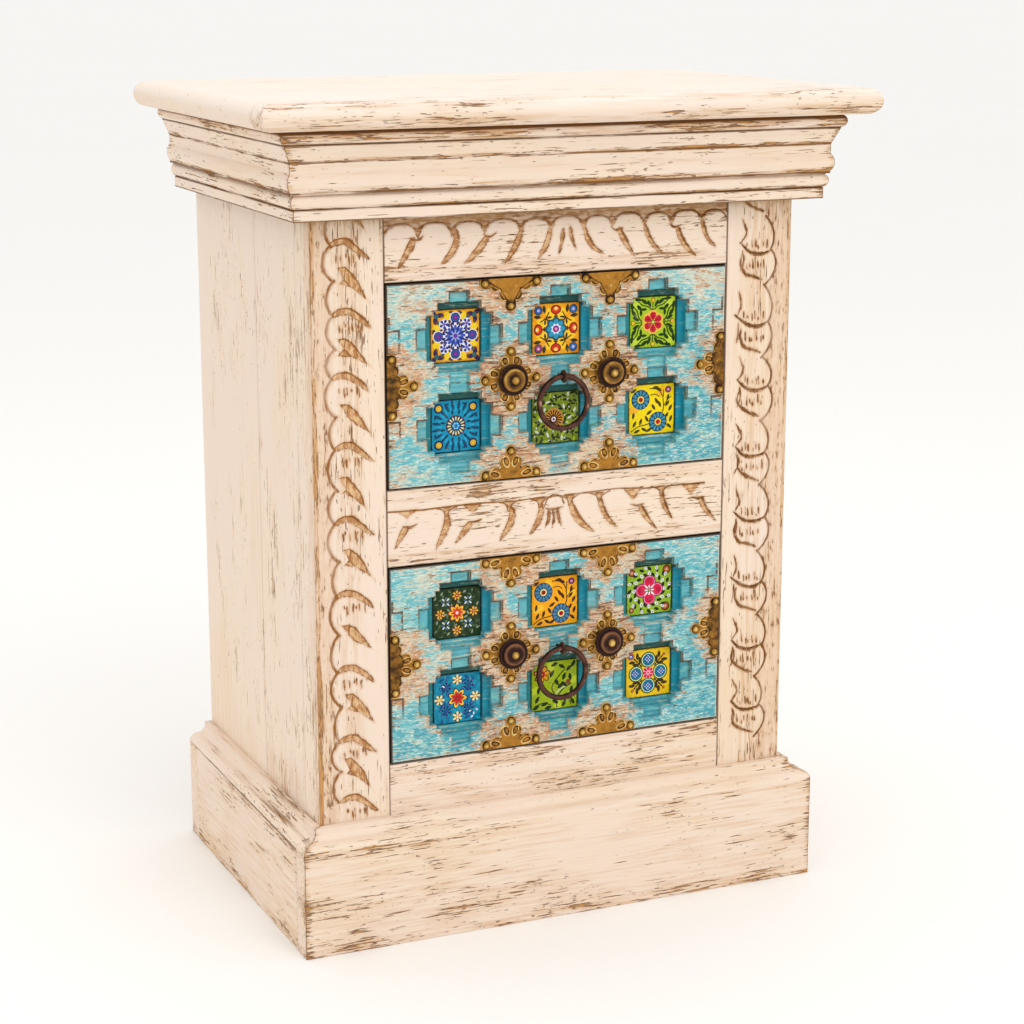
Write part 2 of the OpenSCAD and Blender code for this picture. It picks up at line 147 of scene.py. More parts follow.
class CarvingSettings(bpy.types.PropertyGroup):
    """Sizes of the gouged carving."""

    depth: length_property("Depth", "Depth of the broad gouges", 0.0019)
    groove: length_property("Groove", "Half width of the scalloped groove", 0.0011)
    step: length_property("Step", "Spacing of the carved face's points", 0.0006)


class BrassSettings(bpy.types.PropertyGroup):
    """Colours and relief of the brass."""

    gold: colour_property("Gold", "Rubbed brass of the plates", "b0792a")
    brown: colour_property("Brown", "Brown patina in the hollows of the plates", "2f1b0b")
    copper: colour_property("Copper", "Brown of the ring pulls", "573326")
    relief: length_property("Relief", "Height of the embossing", 0.00045)
    spokes: IntProperty(name="Spokes", description="Points round the outline of a plate", default=288, min=96)


class TileSettings(bpy.types.PropertyGroup):
    """Relief of the glazed tiles."""

    relief: length_property("Relief", "Height of the raised glaze", 0.00022)
    round: length_property("Rounding", "Rounding of the tiles' edges", 0.0008)


class StageSettings(bpy.types.PropertyGroup):
    """Floor, light and camera."""

    floor: colour_property("Floor", "Colour of the floor", "f8f7f5")
    camera_place: FloatVectorProperty(
        name="Camera place", description="Its place", default=(-0.7237, -1.6525, 0.7078), subtype="XYZ"
    )
    camera_yaw: angle_property("Camera yaw", "Turn of the camera to the right", 23.957)
    camera_pitch: angle_property("Camera pitch", "Tilt of the camera downwards", 13.23)
    camera_lens: FloatProperty(name="Lens", description="Focal length of the camera in mm", default=84.18)
    key: FloatProperty(name="Key light", description="Power of the front light", default=13, subtype="POWER")
    fill: FloatProperty(name="Sky", description="Strength of the even light all round", default=0.98)


def settings(group):
    """One of the table's groups of settings."""
    return getattr(bpy.context.scene, "bedside_" + group)


class Wire:
    """A shader socket whose arithmetic adds Math nodes."""

    def __init__(self, finish, socket):
        self.finish = finish
        self.socket = socket

    def __add__(self, other):
        return self.finish.maths("ADD", self, other)

    def __sub__(self, other):
        return self.finish.maths("SUBTRACT", self, other)

    def __rsub__(self, other):
        return self.finish.maths("SUBTRACT", other, self)

    def __mul__(self, other):
        return self.finish.maths("MULTIPLY", self, other)

    def __truediv__(self, other):
        return self.finish.maths("DIVIDE", self, other)

    def __abs__(self):
        return self.finish.maths("ABSOLUTE", self)

    def sway(self, reach):
        """A noise that swings about 0."""
        return (self - 0.5) * reach

    __radd__ = __add__
    __rmul__ = __mul__


class Finish:
    """A material under construction. Colours are display colours or wires."""

    def __init__(self, name):
        self.material = bpy.data.materials.new(name)
        self.material.use_nodes = True
        self.tree = self.material.node_tree
        self.tree.nodes.clear()
        coordinates = self.node("ShaderNodeTexCoord")
        scale = {0: coordinates["Object"], "Scale": 1 / MM}
        self.place = self.node("ShaderNodeVectorMath", {"operation": "SCALE"}, scale)[0]
        parts = self.node("ShaderNodeSeparateXYZ", {}, {0: self.place})
        self.x, self.y, self.z = parts[0], parts[1], parts[2]

    def node(self, kind, choices=None, inputs=None):
        """Adds a node: its settings first, then the values or links of its sockets. Returns its outputs."""
        made = self.tree.nodes.new(kind)
        for key, value in (choices or {}).items():
            setattr(made, key, value)
        for key, value in (inputs or {}).items():
            if isinstance(value, Wire):
                self.tree.links.new(value.socket, made.inputs[key])
            else:
                made.inputs[key].default_value = value
        outputs = {i: Wire(self, socket) for i, socket in enumerate(made.outputs)}
        outputs.update({socket.name: Wire(self, socket) for socket in made.outputs if socket.enabled})
        return outputs

    def maths(self, operation, *values):
        return self.node("ShaderNodeMath", {"operation": operation}, dict(enumerate(values)))[0]

    def least(self, *values):
        found = values[0]
        for value in values[1:]:
            found = self.maths("MINIMUM", found, value)
        return found

    def most(self, *values):
        found = values[0]
        for value in values[1:]:
            found = self.maths("MAXIMUM", found, value)
        return found

    def rise(self, value, low, high):
        """0 below low, 1 above high, smooth in between."""
        ends = {"Value": value, "From Min": low, "From Max": high}
        return self.node("ShaderNodeMapRange", {"interpolation_type": "SMOOTHSTEP"}, ends)[0]

    def fall(self, value, low, high):
        """1 below low, 0 above high, smooth in between."""
        return 1 - self.rise(value, low, high)

    def span(self, across, up):
        """Length of a pair of offsets."""
        return self.maths("SQRT", across * across + up * up)

    def mix(self, first, second, share):
        """Colour that goes from the first to the second."""
        first, second = (c if isinstance(c, Wire) else linear(c) for c in (first, second))
        inputs = {0: share, 6: first, 7: second}
        return self.node("ShaderNodeMix", {"data_type": "RGBA", "clamp_factor": True}, inputs)[2]

    def noise(self, size, detail=2.0, roughness=0.5, seed=0.0, warp=0.0):
        """Noise from 0 to 1 whose spots have this size in millimetres along X, Y and Z."""
        shift = (seed * 7.31, seed * 3.77, seed * 5.13)
        spread = {0: self.place, 1: tuple(1 / s for s in size), 2: shift}
        vector = self.node("ShaderNodeVectorMath", {"operation": "MULTIPLY_ADD"}, spread)[0]
        inputs = {"Vector": vector, "Scale": 1, "Detail": detail, "Roughness": roughness, "Distortion": warp}
        return self.node("ShaderNodeTexNoise", {"noise_dimensions": "3D"}, inputs)[0]

    def attribute(self, name, output="Fac"):
        return self.node("ShaderNodeAttribute", {"attribute_name": name})[output]

    def edge_distance(self, node):
        """Distance of a point on a packed board's face to the nearest edge of the board."""
        nearest = []
        for part, low, high in zip((self.x, self.y, self.z), *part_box(node)):
            middle, half = (low + high) / 2 / MM, (high - low) / 2 / MM
            nearest.append(half - abs(part - middle))
        a, b, c = nearest
        return self.most(self.least(a, b), self.least(self.most(a, b), c))

    def lay(self, tone, share):
        """Lays a colour over the ones so far."""
        self.colour = self.mix(self.colour, tone, share)

    def surface(self, colour, roughness, height=None, depth=0.2, metallic=0.0, specular=0.5):
        """Ends the material. Depth is the height of the bumps in millimetres."""
        inputs = {
            "Base Color": colour,
            "Roughness": roughness,
            "Metallic": metallic,
            "Specular IOR Level": specular,
        }
        if height is not None:
            bump = {"Strength": 1.0, "Distance": depth * MM, "Height": height}
            inputs["Normal"] = self.node("ShaderNodeBump", {}, bump)[0]
        shader = self.node("ShaderNodeBsdfPrincipled", {}, inputs)[0]
        self.node("ShaderNodeOutputMaterial", {}, {"Surface": shader})
        return self.material


def along(grain, long, short):
    """Size of a spot that is long along the grain, X, Y or Z, and short across it."""
    return tuple(long if axis == grain else short for axis in "xyz")


# Where the cream paint gives way: noise plus push from, and fully at.
WORN_THROUGH = (0.688, 0.718)
WORN_WIDE = (0.73, 0.82)
WASHED = (0.62, 0.69)


class WornPaint(Finish):
    """Cream paint rubbed through along the grain and at the edges of a packed board."""

    def __init__(self, node, grain, edge):
        super().__init__(node + "_paint")
        self.grain, self.edge = grain, edge
        self.parts = {"x": self.x, "y": self.y, "z": self.z}
        self.slow = self.noise(along(grain, 240, 100), 2, 0.5, 1)
        self.brush = self.noise(along(grain, 50, 2.4), 3, 0.6, 2)
        self.dash = self.noise(along(grain, 25, 1.2), 2, 0.55, 3, 0.1)
        self.short = self.noise(along(grain, 7.0, 1.3), 1, 0.5, 9)
        self.crowd = self.noise(along(grain, 85, 27), 2, 0.55, 4)
        self.fleck = self.noise((2.2, 2.2, 2.2), 1, 0.5, 5)
        self.inset = self.edge_distance(node)
        self.on_front = self.fall(self.y, FACE + 0.9, FACE + 1.5)

    def press(self, bands, extra):
        """How hard the paint is rubbed and how brown it is: more at the edges and in each band."""
        near = self.fall(self.inset, 0.0, 5.0)
        self.push = self.crowd.sway(0.50) + near * (0.035 * self.edge) + (extra + settings("paint").wear)
        self.stain = near * 0.3 * self.edge
        for axis, height, half, strength in bands:
            band = self.fall(abs(self.parts[axis] - height), half * 0.35, half)
            band = band * self.on_front if axis == "x" else band
            self.push = self.push + band * self.crowd * (2 * strength)
            self.stain = self.most(self.stain, band * (0.25 + 4 * strength))

    def press_mitres(self):
        """Rubs the paint along the mitres of the front corners."""
        self.mitre = abs(abs(self.x) - BODY_HALF + self.y - FACE)
        self.push = self.push + self.fall(self.mitre, 1.0, 8.0) * 0.08
        self.stain = self.most(self.stain, self.fall(self.mitre, 0.5, 6.0) * 0.7)

    def lay_cream(self, rubbed):
        """Paint with thin and yellowed places, a lighter and pinker top face, and brown wash beside the
        rubbed ones.
        """
        paint = settings("paint")
        brush, crowd, slow = self.brush, self.crowd, self.slow
        thin = self.rise(slow + brush.sway(0.6), 0.46, 0.86)
        self.colour = self.mix(paint.cream, paint.cream_low, thin)
        self.lay("f0dcc0", self.rise(crowd + slow.sway(0.8), 0.42, 0.60) * 0.35)
        # Lighter, pinker paint on the top face.
        self.lay("f1e5dc", self.rise(self.z, 598, 607) * 0.65)
        self.lay(paint.stain, self.rise(brush + crowd.sway(0.5), 0.56, 0.84) * 0.28)
        self.lay(paint.stain, self.stain * self.rise(brush + crowd.sway(0.5), 0.36, 0.62) * 0.85)
        self.lay(paint.stain, self.rise(rubbed, *WASHED) * 0.30)

    def rub(self, rubbed):
        """Shows the wood in long dashes, short ticks and pits, and along the edges."""
        paint = settings("paint")
        brush = self.brush
        worn = self.rise(rubbed, *WORN_THROUGH)
        patch = self.rise(rubbed, *WORN_WIDE)
        ticks = self.rise(self.short + self.push * 0.8, 0.715, 0.755)
        pits = self.rise(self.fleck + self.crowd.sway(0.30), 0.765, 0.80)
        wood = self.mix(paint.wood_dark, paint.wood, self.rise(patch + brush.sway(0.8), 0.2, 0.7))
        rim = self.fall(self.inset + brush.sway(2.0), 0.2, 0.95) * (0.55 * self.edge)
        self.lost = self.most(worn * 0.9, self.most(pits * 0.7, ticks * 0.75), rim)
        self.lay(wood, self.lost)
        self.height = brush * 0.35 - self.lost * 0.8

    def draw_groove_stain_and_shade(self, stain_and_shade_lines):
        """Dark broken lines in the mouldings' grooves: partly brown stain, partly painted shade in the
        creases.
        """
        for axis, place, half, strength in stain_and_shade_lines:
            off = abs(self.parts[axis] - place) + self.short.sway(0.5)
            line = self.fall(off, half * 0.5, half * 1.25)
            value = self.brush + self.crowd.sway(0.6) + (strength - 0.8) * 0.8
            self.lay("724a22", line * self.rise(value, 0.28, 0.56) * strength)

    def draw_carving(self):
        """Brown floors of the gouges, dark lines along them, partly painted shade on their upper walls, and a
        stained halo round them.
        """
        brush, short = self.brush, self.short
        shore, groove = self.attribute("gouge"), self.attribute("groove")
        blot = self.noise(along(self.grain, 7.0, 3.4), 2, 0.55, 10)
        ragged = shore + brush.sway(1.4) + short.sway(1.0)
        ragged = ragged + blot.sway(1.5)
        self.lay("cf9e6c", self.rise(shore + brush.sway(3.0) + blot.sway(2.0), -2.2, 0.0) * 0.42)
        floor = self.mix("e6bf8e", "b67a3f", self.rise(blot + short.sway(0.5), 0.36, 0.64))
        self.lay(floor, self.rise(ragged, 0.0, 0.7) * 0.85)
        ring = self.fall(abs(ragged - 0.15), 0.15, 0.60)
        self.lay("7a4a22", ring * (0.25 + self.rise(blot + short * 0.6, 0.72, 0.92) * 0.6))
        # Dark lines from the groove layer, partly painted shade on upper walls.
        groove_stain_and_shade = self.rise(groove + short.sway(0.6) + blot.sway(0.6), 0.15, 0.70)
        tone = self.mix("7a5024", "96622c", self.fall(self.x, -30, 120))
        self.lay(tone, groove_stain_and_shade * (0.58 + self.rise(self.crowd + brush * 0.8, 0.72, 1.0) * 0.40))
        self.height = self.height - groove_stain_and_shade * 0.5

    def draw_crown_shadow_and_joints(self):
        """Painted shadow under the crown and dark joints between the stiles and the rails."""
        # Painted shadow in a band just under the crown.
        below = self.rise(self.z + self.brush.sway(8), 522, 528) * self.fall(self.z, 528.6, 529)
        self.lay("b8935e", below * 0.55)
        joint = self.fall(abs(abs(self.x) - OPENING_HALF), 0.45, 1.0) * self.on_front
        self.lay("5a3a20", joint * 0.75)

    def draw_opening_shadows(self):
        """Painted gap shadow along the edges of the drawer openings, and painted shade on the wood inside
        them that lightens further in.
        """
        edges = [(MIDDLE[drawer], way * OPENING_HALF_HEIGHT) for drawer in DRAWERS for way in (-1, 1)]
        # Painted gap shadow along the openings' top and bottom edges.
        corner = [self.fall(abs(self.z - middle - half), 0.3, 1.0) for middle, half in edges]
        self.lay("2e1c10", self.most(*corner) * self.on_front * self.fall(abs(self.x), 134.6, 135.2) * 0.8)
        # Painted shade on the faces inside the openings.
        deeper = 1 - self.rise(self.y, FACE + 12, FACE + 24) * 0.65
        inside = self.rise(self.y, FACE + 2.2, FACE + 2.9) * deeper * self.fall(abs(self.x), 135.2, 135.6)
        inside = inside * self.rise(self.z, 100, 101) * self.fall(self.z, 528, 529)
        self.lay("2e1c10", inside * 0.92)


def worn_paint(node, grain, bands=(), stain_and_shade_lines=(), mitred=False, extra=0.0, edge=1.0, gouged=False):
    """Cream paint of a packed board.

    A band is (axis, height, half width, push): the paint wears off more there.
    A line of stain and shade is (axis, height, half width, strength): a dark line in a moulding, partly stain
    in its groove and partly painted shade.
    """
    f = WornPaint(node, grain, edge)
    f.press(bands, extra)
    if mitred:
        f.press_mitres()
    rubbed = f.dash + f.push
    f.lay_cream(rubbed)
    f.rub(rubbed)
    f.draw_groove_stain_and_shade(stain_and_shade_lines)
    if mitred:
        f.lay("6b4526", f.fall(f.mitre, 0.2, 0.6) * (0.3 + f.brush))
    if gouged:
        f.draw_carving()
        f.draw_crown_shadow_and_joints()
    f.draw_opening_shadows()
    roughness = 0.46 + 0.26 * f.lost + f.brush.sway(0.12)
    return f.surface(f.colour, roughness, f.height, 0.22, specular=0.16)


def bare_wood(name, grain, tone=0.0, node=None):
    """Unpainted wood, planed and a little dirty, dark along the edges of a given board."""
    f = Finish(name)
    rings = f.noise(along(grain, 190, 7), 3, 0.6, 6, 0.4)
    fibres = f.noise(along(grain, 30, 0.9), 2, 0.6, 7)
    dirt = f.noise((70, 70, 70), 3, 0.55, 8)
    f.colour = f.mix(settings("paint").bare, "8d5f38", f.rise(rings + tone, 0.42, 0.66) * 0.8)
    f.lay("5f3f25", f.rise(fibres, 0.58, 0.74) * 0.5)
    f.lay("6d4f33", f.rise(dirt, 0.55, 0.8) * 0.35)
    if node:
        rim = f.fall(f.edge_distance(node) + fibres.sway(0.8), 0.3, 1.3)
        f.lay("3a2513", rim * 0.85)
    return f.surface(f.colour, 0.66 + fibres.sway(0.25), fibres * 0.6 + rings * 0.4, 0.18, specular=0.3)


# The stepped cross round a tile as overlapping boxes: half width and half height.
CROSS_BOXES = ((32.5, 7.25), (7.25, 32.5), (25.0, 16.0), (16.0, 25.0), (19.4, 19.4))


class WornTurquoise(Finish):
    """Turquoise paint of a drawer front, flecked with cream and rubbed down round the crosses and plates."""

    def __init__(self, drawer):
        node = drawer + "_front"
        super().__init__(node + "_paint")
        self.lower = drawer == "lower"
        self.streak = self.noise((17, 17, 2.0), 3, 0.6, 11, 0.2)
        self.fine = self.noise((4.6, 4.6, 1.0), 2, 0.6, 12)
        self.grit = self.noise((2.9, 2.9, 0.85), 1, 0.5, 15)
        self.patch = self.noise((34, 34, 20), 2, 0.55, 13)
        self.blot = self.noise((8.0, 8.0, 3.6), 3, 0.6, 14, 0.3)
        self.tint = self.noise((10, 10, 5.5), 3, 0.6, 16, 0.3)
        self.measure(MIDDLE[drawer], *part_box(node))
        self.find_neighbours(node)

    def measure(self, middle, lo, hi):
        """Places in the drawer front, in the cross round the nearest tile, and into the wood."""
        self.up = self.z - middle
        self.height, self.across = abs(self.up), abs(self.x)
        row = self.maths("SIGN", self.up) * ROW_OFFSET
        column = self.maths("ROUND", self.x / COLUMNS[2]) * COLUMNS[2]
        self.above, self.beside = self.up - row, self.x - column
        self.off = abs(self.beside), abs(self.above)
        self.cross = self.least(*[self.most(self.off[0] - a, self.off[1] - b) for a, b in CROSS_BOXES])
        self.sunk = self.y - FACE
        self.in_cross = self.rise(self.sunk, 0.8, 1.6)
        self.flat = 1 - self.in_cross
        self.half_x, self.half_z = hi.x / MM, (hi.z - lo.z) / 2 / MM
        self.thick = (hi.y - lo.y) / MM

    def find_neighbours(self, node):
        """Closeness to plates, crosses and edges, and the regions with clear or pale paint."""
        whole = self.span(self.across - PLATE_X, self.height)
        half = self.span(self.across - PLATE_X, self.height - FRONT_HALF_HEIGHT)
        side = self.span(self.across - FRONT_HALF, self.height)
        self.by_plate = self.most(self.fall(whole, 19, 37), self.fall(self.least(half, side), 16, 36))
        self.by_cross = self.fall(abs(self.cross), 0.5, 6.5)
        self.by_edge = self.fall(self.edge_distance(node), 0.0, 5.0)
        low = self.fall(self.up, -70, 0) * (0.15 if self.lower else 0.0)
        corner = self.rise(self.x + self.up * 1.5, 130, 220) * (0.0 if self.lower else 0.20)
        self.clear = self.rise(self.x - self.up * 0.8, 30, 150) * 0.20 + low
        self.pale = self.rise(self.up * 0.6 - self.x, 70, 150) * 0.14 + corner

    def lay_turquoise(self):
        """Tones of turquoise with milky patches and dry-brushed chalk over them."""
        paint = settings("paint")
        streak, fine, patch = self.streak, self.fine, self.patch
        deeper = self.rise(patch + streak.sway(0.8) + self.clear - self.pale, 0.42, 0.66)
        self.colour = self.mix(paint.turquoise, "3f96a6", deeper * 0.75)
        self.lay("84c2b4", self.rise(self.tint + fine.sway(0.3), 0.50, 0.66) * 0.6)
        self.clean = self.colour
        self.lay("b7dcd6", self.rise(self.blot + fine.sway(0.5), 0.42, 0.62) * 0.5)
        dry = patch.sway(1.5) + streak.sway(1.5) + self.tint.sway(0.6) + fine.sway(0.45) + self.grit.sway(0.3)
        dry = dry - self.clear + self.pale + self.by_plate * 0.16 + self.by_cross * 0.06 + self.by_edge * 0.05
        self.flecks = self.rise(dry, -0.04, 0.29)
        self.lay(paint.chalk, self.flecks * 0.80)

    def rub(self):
        """Bare wood stained and specked with paint, white grit and dark scratches."""
        streak, fine, grit, blot = self.streak, self.fine, self.grit, self.blot
        wear = blot.sway(1.0) + self.patch.sway(0.9) + streak.sway(0.5) + fine.sway(0.35)
        between = self.fall(self.across, 26, 46) * self.fall(self.up, -66, -40)
        tan = self.by_plate * (0.42 if self.lower else 0.38)
        tan = tan - self.clear * 0.6 + self.pale * 0.3 + between * 0.20
        value = wear + tan + self.by_cross * 0.14 + self.by_edge * 0.06
        self.bare = self.rise(value, 0.08, 0.28) * (1 - self.in_cross * 0.8)
        skin = self.mix("dcc19f", "c98d60", self.rise(self.tint + fine.sway(0.5), 0.40, 0.58))
        skin = self.mix(skin, "8f5d3a", self.rise(streak + fine.sway(0.8), 0.52, 0.68) * 0.8)
        skin = self.mix(skin, "f1e6d4", self.rise(fine + grit.sway(0.7), 0.57, 0.72) * 0.55)
        skin = self.mix(skin, "7fb8b4", self.rise(blot + grit.sway(0.6), 0.54, 0.68) * 0.6)
        self.lay(skin, self.bare * 0.92)
        self.lay("f4f1e6", self.rise(grit + fine.sway(0.7), 0.60, 0.68) * self.flat * 0.5)
        dark = streak + grit.sway(0.5) + self.by_plate * 0.09 + self.by_cross * 0.06 + self.by_edge * 0.05
        self.dark = self.rise(dark, 0.645, 0.73)
        self.lay("6b4630", self.dark * self.flat * 0.85)

    def draw_rims(self):
        """Dark broken edges round the crosses, partly worn paint and partly painted shade that is stronger on
        the upper part of each cross, and a pale halo beside them.
        """
        # Painted shade: the dark edges grow stronger above the middle of each tile.
        self.shaded = 0.35 + 0.65 * self.rise(self.above + self.tint.sway(20), -12, 4)
        broken = self.rise(self.blot + self.fine.sway(0.6), 0.34, 0.50)
        lip = self.fall(abs(self.cross - 0.2), 0.4, 1.2) * broken * self.shaded
        self.lay("563a26", lip * self.fall(self.sunk, 0.2, 0.9) * 0.9)
        halo = self.fall(abs(self.cross - 1.8 + self.tint.sway(5)), 0.2, 1.2)
        self.lay("efe3cb", halo * self.rise(self.blot, 0.52, 0.66) * self.flat * 0.4)

    def shaded_pocket(self):
        """Floor and walls round a tile in deep turquoise, with painted shade above the tile, painted light on
        the right walls and a painted shadow line round the tile.
        """
        # A more vivid teal on the right walls is painted light.
        floor = self.mix(settings("paint").turquoise_deep, "0c8aa0", self.rise(self.beside, 15, 19))
        # A dark green band above the tile is painted shade.
        floor = self.mix(floor, "1d4f49", self.rise(self.above, 15, 19))
        floor = self.mix(floor, "b9cfc2", self.rise(self.streak + self.fine.sway(0.5), 0.58, 0.72) * 0.35)
        # A near-black line round the tile is a painted shadow.
        return self.mix(floor, "0b1c1a", self.fall(self.most(*self.off), 19.1, 20.8) * 0.8)

    def shelf(self):
        """Worn paint on the arms of a cross, with a dark hem along its edge that is partly painted shade."""
        tone = self.mix(self.clean, "2f7f88", self.rise(self.streak + self.blot.sway(0.5), 0.50, 0.68) * 0.6)
        tone = self.mix(tone, "e5dcc6", self.bare * 0.7)
        broken = self.rise(self.blot + self.grit.sway(0.5), 0.36, 0.5)
        hem = self.fall(abs(self.cross + 0.4), 0.4, 1.3) * broken
        return self.mix(tone, "4c3d2a", hem * self.shaded * 0.75)

    def steps(self):
        """Streaks across the arm below a tile."""
        wave = self.maths("SINE", self.above * 1.75 + self.patch.sway(9)) * 0.45
        ladder = wave + self.streak.sway(3.0) + self.fine.sway(1.8) + (self.grit - 0.5)
        ladder = self.rise(ladder, 0.30, 0.75)
        deep = self.rise(self.blot.sway(1.4) - wave * 0.5 + (self.fine - 0.5), -0.1, 0.4)
        tone = self.mix(self.clean, "2c7f8b", deep * 0.7)
        tone = self.mix(tone, "dcd6c2", ladder * 0.62)
        return self.mix(tone, "8f6449", self.rise(0.5 - self.streak + ladder * 0.2, 0.16, 0.24) * 0.6)

    def fill_crosses(self):
        sunken = self.mix(self.shelf(), self.shaded_pocket(), self.rise(self.sunk, 2.9, 5.5))
        sunken = self.mix(sunken, self.steps(), self.rise(0 - self.above, 15, 18) * 0.92)
        self.lay(sunken, self.in_cross * 0.95)

    def draw_border_and_gap_shadow(self):
        """Rubbed border of the face, with a painted gap shadow along its upper and left edge."""
        self.border = self.least(self.half_x - self.across, self.half_z - self.height)
        rim = self.fall(self.border + self.fine.sway(1.0), 0.5, 1.3) * self.fall(self.sunk, 0.5, 1.0)
        top = self.rise(self.up, self.half_z - 1.5, self.half_z - 0.7)
        left = self.fall(self.x + self.half_x, 0.7, 1.5)
        self.lay("e2d2b8", rim * 0.6)
        # Painted gap shadow along the upper and left edge.
        self.lay("2e1c10", self.most(top, left) * 0.92)

    def draw_raw_edges(self):
        """Bare wood on the panel's edges and back, with a painted gap shadow on the edges just behind the
        paint.
        """
        outside = self.fall(self.border, 0.1, 0.4)
        back = self.rise(self.sunk, self.thick - 0.6, self.thick - 0.3)
        raw = self.most(outside * self.rise(self.sunk, 1.5, 4.0), back)
        dark = self.rise(self.streak + self.fine.sway(0.4), 0.42, 0.62)
        tone = self.mix(settings("paint").bare, "7d5331", dark)
        tone = self.mix(tone, "7fb9b6", self.rise(self.tint + self.streak.sway(0.8), 0.60, 0.68) * 0.5)
        self.lay(tone, raw * 0.95)
        # Painted gap shadow on the edges just behind the painted face.
        gap_shadow = outside * self.rise(self.sunk, 0.35, 1.0) * self.fall(self.sunk, 2.0, 4.5)
        self.lay("2a1a10", gap_shadow * 0.95)


def worn_turquoise(drawer):
    """Paint of a whole drawer front, from the face to the raw edges."""
    f = WornTurquoise(drawer)
    for step in (f.lay_turquoise, f.rub, f.draw_rims, f.fill_crosses, f.draw_border_and_gap_shadow, f.draw_raw_edges):
        step()
    relief = f.flecks * 0.25 - f.bare * 0.6 - f.dark * 0.5 + f.streak * 0.4 + f.blot * 0.3 + f.grit * 0.2
    return f.surface(f.colour, 0.52 + f.bare * 0.16, relief, 0.26, specular=0.16)


def glaze():
    """Glossy glaze in the colours painted on the tiles, dark along their edges: partly thin glaze and partly
    a painted shadow line.
    """
    f = Finish("tile_glaze")
    mottle = f.noise((2.2, 2.2, 2.2), 3, 0.65, 21)
    cloud = f.noise((6, 6, 6), 2, 0.5, 22)
    up = f.least(*[abs(f.z - MIDDLE[drawer]) for drawer in DRAWERS])
    side = f.x - f.maths("ROUND", f.x / COLUMNS[2]) * COLUMNS[2]
    edge = f.most(abs(side), abs(up - ROW_OFFSET)) + mottle.sway(1.6)
    f.colour = f.mix(f.attribute("glaze", "Color"), "14140e", f.rise(mottle, 0.50, 0.80) * 0.42)
    f.lay("fff4dc", f.rise(cloud + mottle.sway(0.6), 0.60, 0.80) * 0.12)
    # Dark tile edges: partly thin glaze, partly a painted shadow line.
    f.lay("1b1a12", f.rise(edge, 17.9, 18.7) * 0.8)
    return f.surface(f.colour, 0.16 + mottle * 0.1, mottle + cloud * 1.5, 0.05, specular=0.18)


def aged_brass(name, bright, dark, light, pale="ecd193", shine=0.3):
    """Brass that is golden where it stands proud, brown in its hollows and pale along its rims."""
    f = Finish(name)
    tarnish = f.noise((6.5, 6.5, 6.5), 3, 0.6, 31)
    grime = f.noise((1.3, 1.3, 1.3), 2, 0.6, 32)
    value = f.attribute("relief") + tarnish.sway(1.0) + grime.sway(0.45) + bright
    gleam = f.rise(value, 0.10, 0.72)
    rubbed = f.rise(value, 0.76, 1.04)
    f.colour = f.mix(dark, light, gleam)
    f.lay(pale, rubbed * 0.85)
    f.lay("24160c", f.rise(grime, 0.60, 0.78) * 0.35)
    roughness = 0.50 - gleam * 0.12 + grime.sway(0.2)
    height = grime * 0.5 + tarnish * 0.5
    return f.surface(f.colour, roughness, height, 0.09, metallic=rubbed * 0.4 + shine, specular=0.2)


def steel():
    """Plain steel of the screws."""
    f = Finish("screw_steel")
    scratch = f.noise((0.6, 0.6, 3.0), 2, 0.5, 41)
    colour = f.mix("8c8c8a", "57544f", f.rise(scratch, 0.45, 0.7))
    return f.surface(colour, 0.35 + scratch * 0.2, scratch, 0.03, metallic=0.9)


def publish(name, bm, material, slot, *replaced, sharp=35.0):
    """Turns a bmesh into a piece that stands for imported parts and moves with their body."""
    mesh = bpy.data.meshes.new(name)
    bm.to_mesh(mesh)
    bm.free()
    mesh.materials.append(material)
    mesh.shade_smooth()
    mesh.set_sharp_from_angle(angle=math.radians(sharp))
    piece = bpy.data.objects.new(name, mesh)
    bpy.context.scene.collection.objects.link(piece)
    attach(piece, NODES[replaced[0]]["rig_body"])
    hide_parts(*replaced)
    return piece


def merged(node):
    """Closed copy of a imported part's mesh with large flat faces."""
    bm = bmesh.new()
    bm.from_mesh(NODES[node].data)
    bmesh.ops.remove_doubles(bm, verts=bm.verts, dist=2e-6)
    bmesh.ops.dissolve_limit(
        bm, angle_limit=math.radians(1), use_dissolve_boundaries=False, verts=bm.verts, edges=bm.edges
    )
    return bm


def slice_plane(bm, axis, place, way=1, clear=False):
    """Cuts a bmesh by a plane across an axis, and clears what lies past it."""
    spot, normal = Vector((0, 0, 0)), Vector((0, 0, 0))
    spot[axis], normal[axis] = place, way
    geometry = bm.verts[:] + bm.edges[:] + bm.faces[:]
    bmesh.ops.bisect_plane(bm, geom=geometry, dist=1e-6, plane_co=spot, plane_no=normal, clear_outer=clear)


def skirt(bm, y):
    """Draws the open edges of a face back to a depth in metres. Returns the new vertices."""
    rim = [e for e in bm.edges if e.is_boundary]
    made = bmesh.ops.extrude_edge_only(bm, edges=rim)["geom"]
    verts = [v for v in made if isinstance(v, bmesh.types.BMVert)]
    for vert in verts:
        vert.co.y = y
    return verts


def spin_closed(bm, centre, steps):
    """Spins everything round the front-to-back axis through a centre into a closed body."""
    geometry = bm.verts[:] + bm.edges[:]
    bmesh.ops.spin(
        bm, geom=geometry, cent=centre, axis=(0, 1, 0), angle=math.tau, steps=steps, use_merge=True
    )
    bmesh.ops.remove_doubles(bm, verts=bm.verts, dist=1e-6)
    bmesh.ops.recalc_face_normals(bm, faces=bm.faces)


def round_off(bm, edges, width, segments, **choices):
    bmesh.ops.bevel(
        bm, geom=edges, offset=width, offset_type="OFFSET", affect="EDGES", segments=segments, profile=0.5,
        material=-1, **choices
    )  # fmt: skip


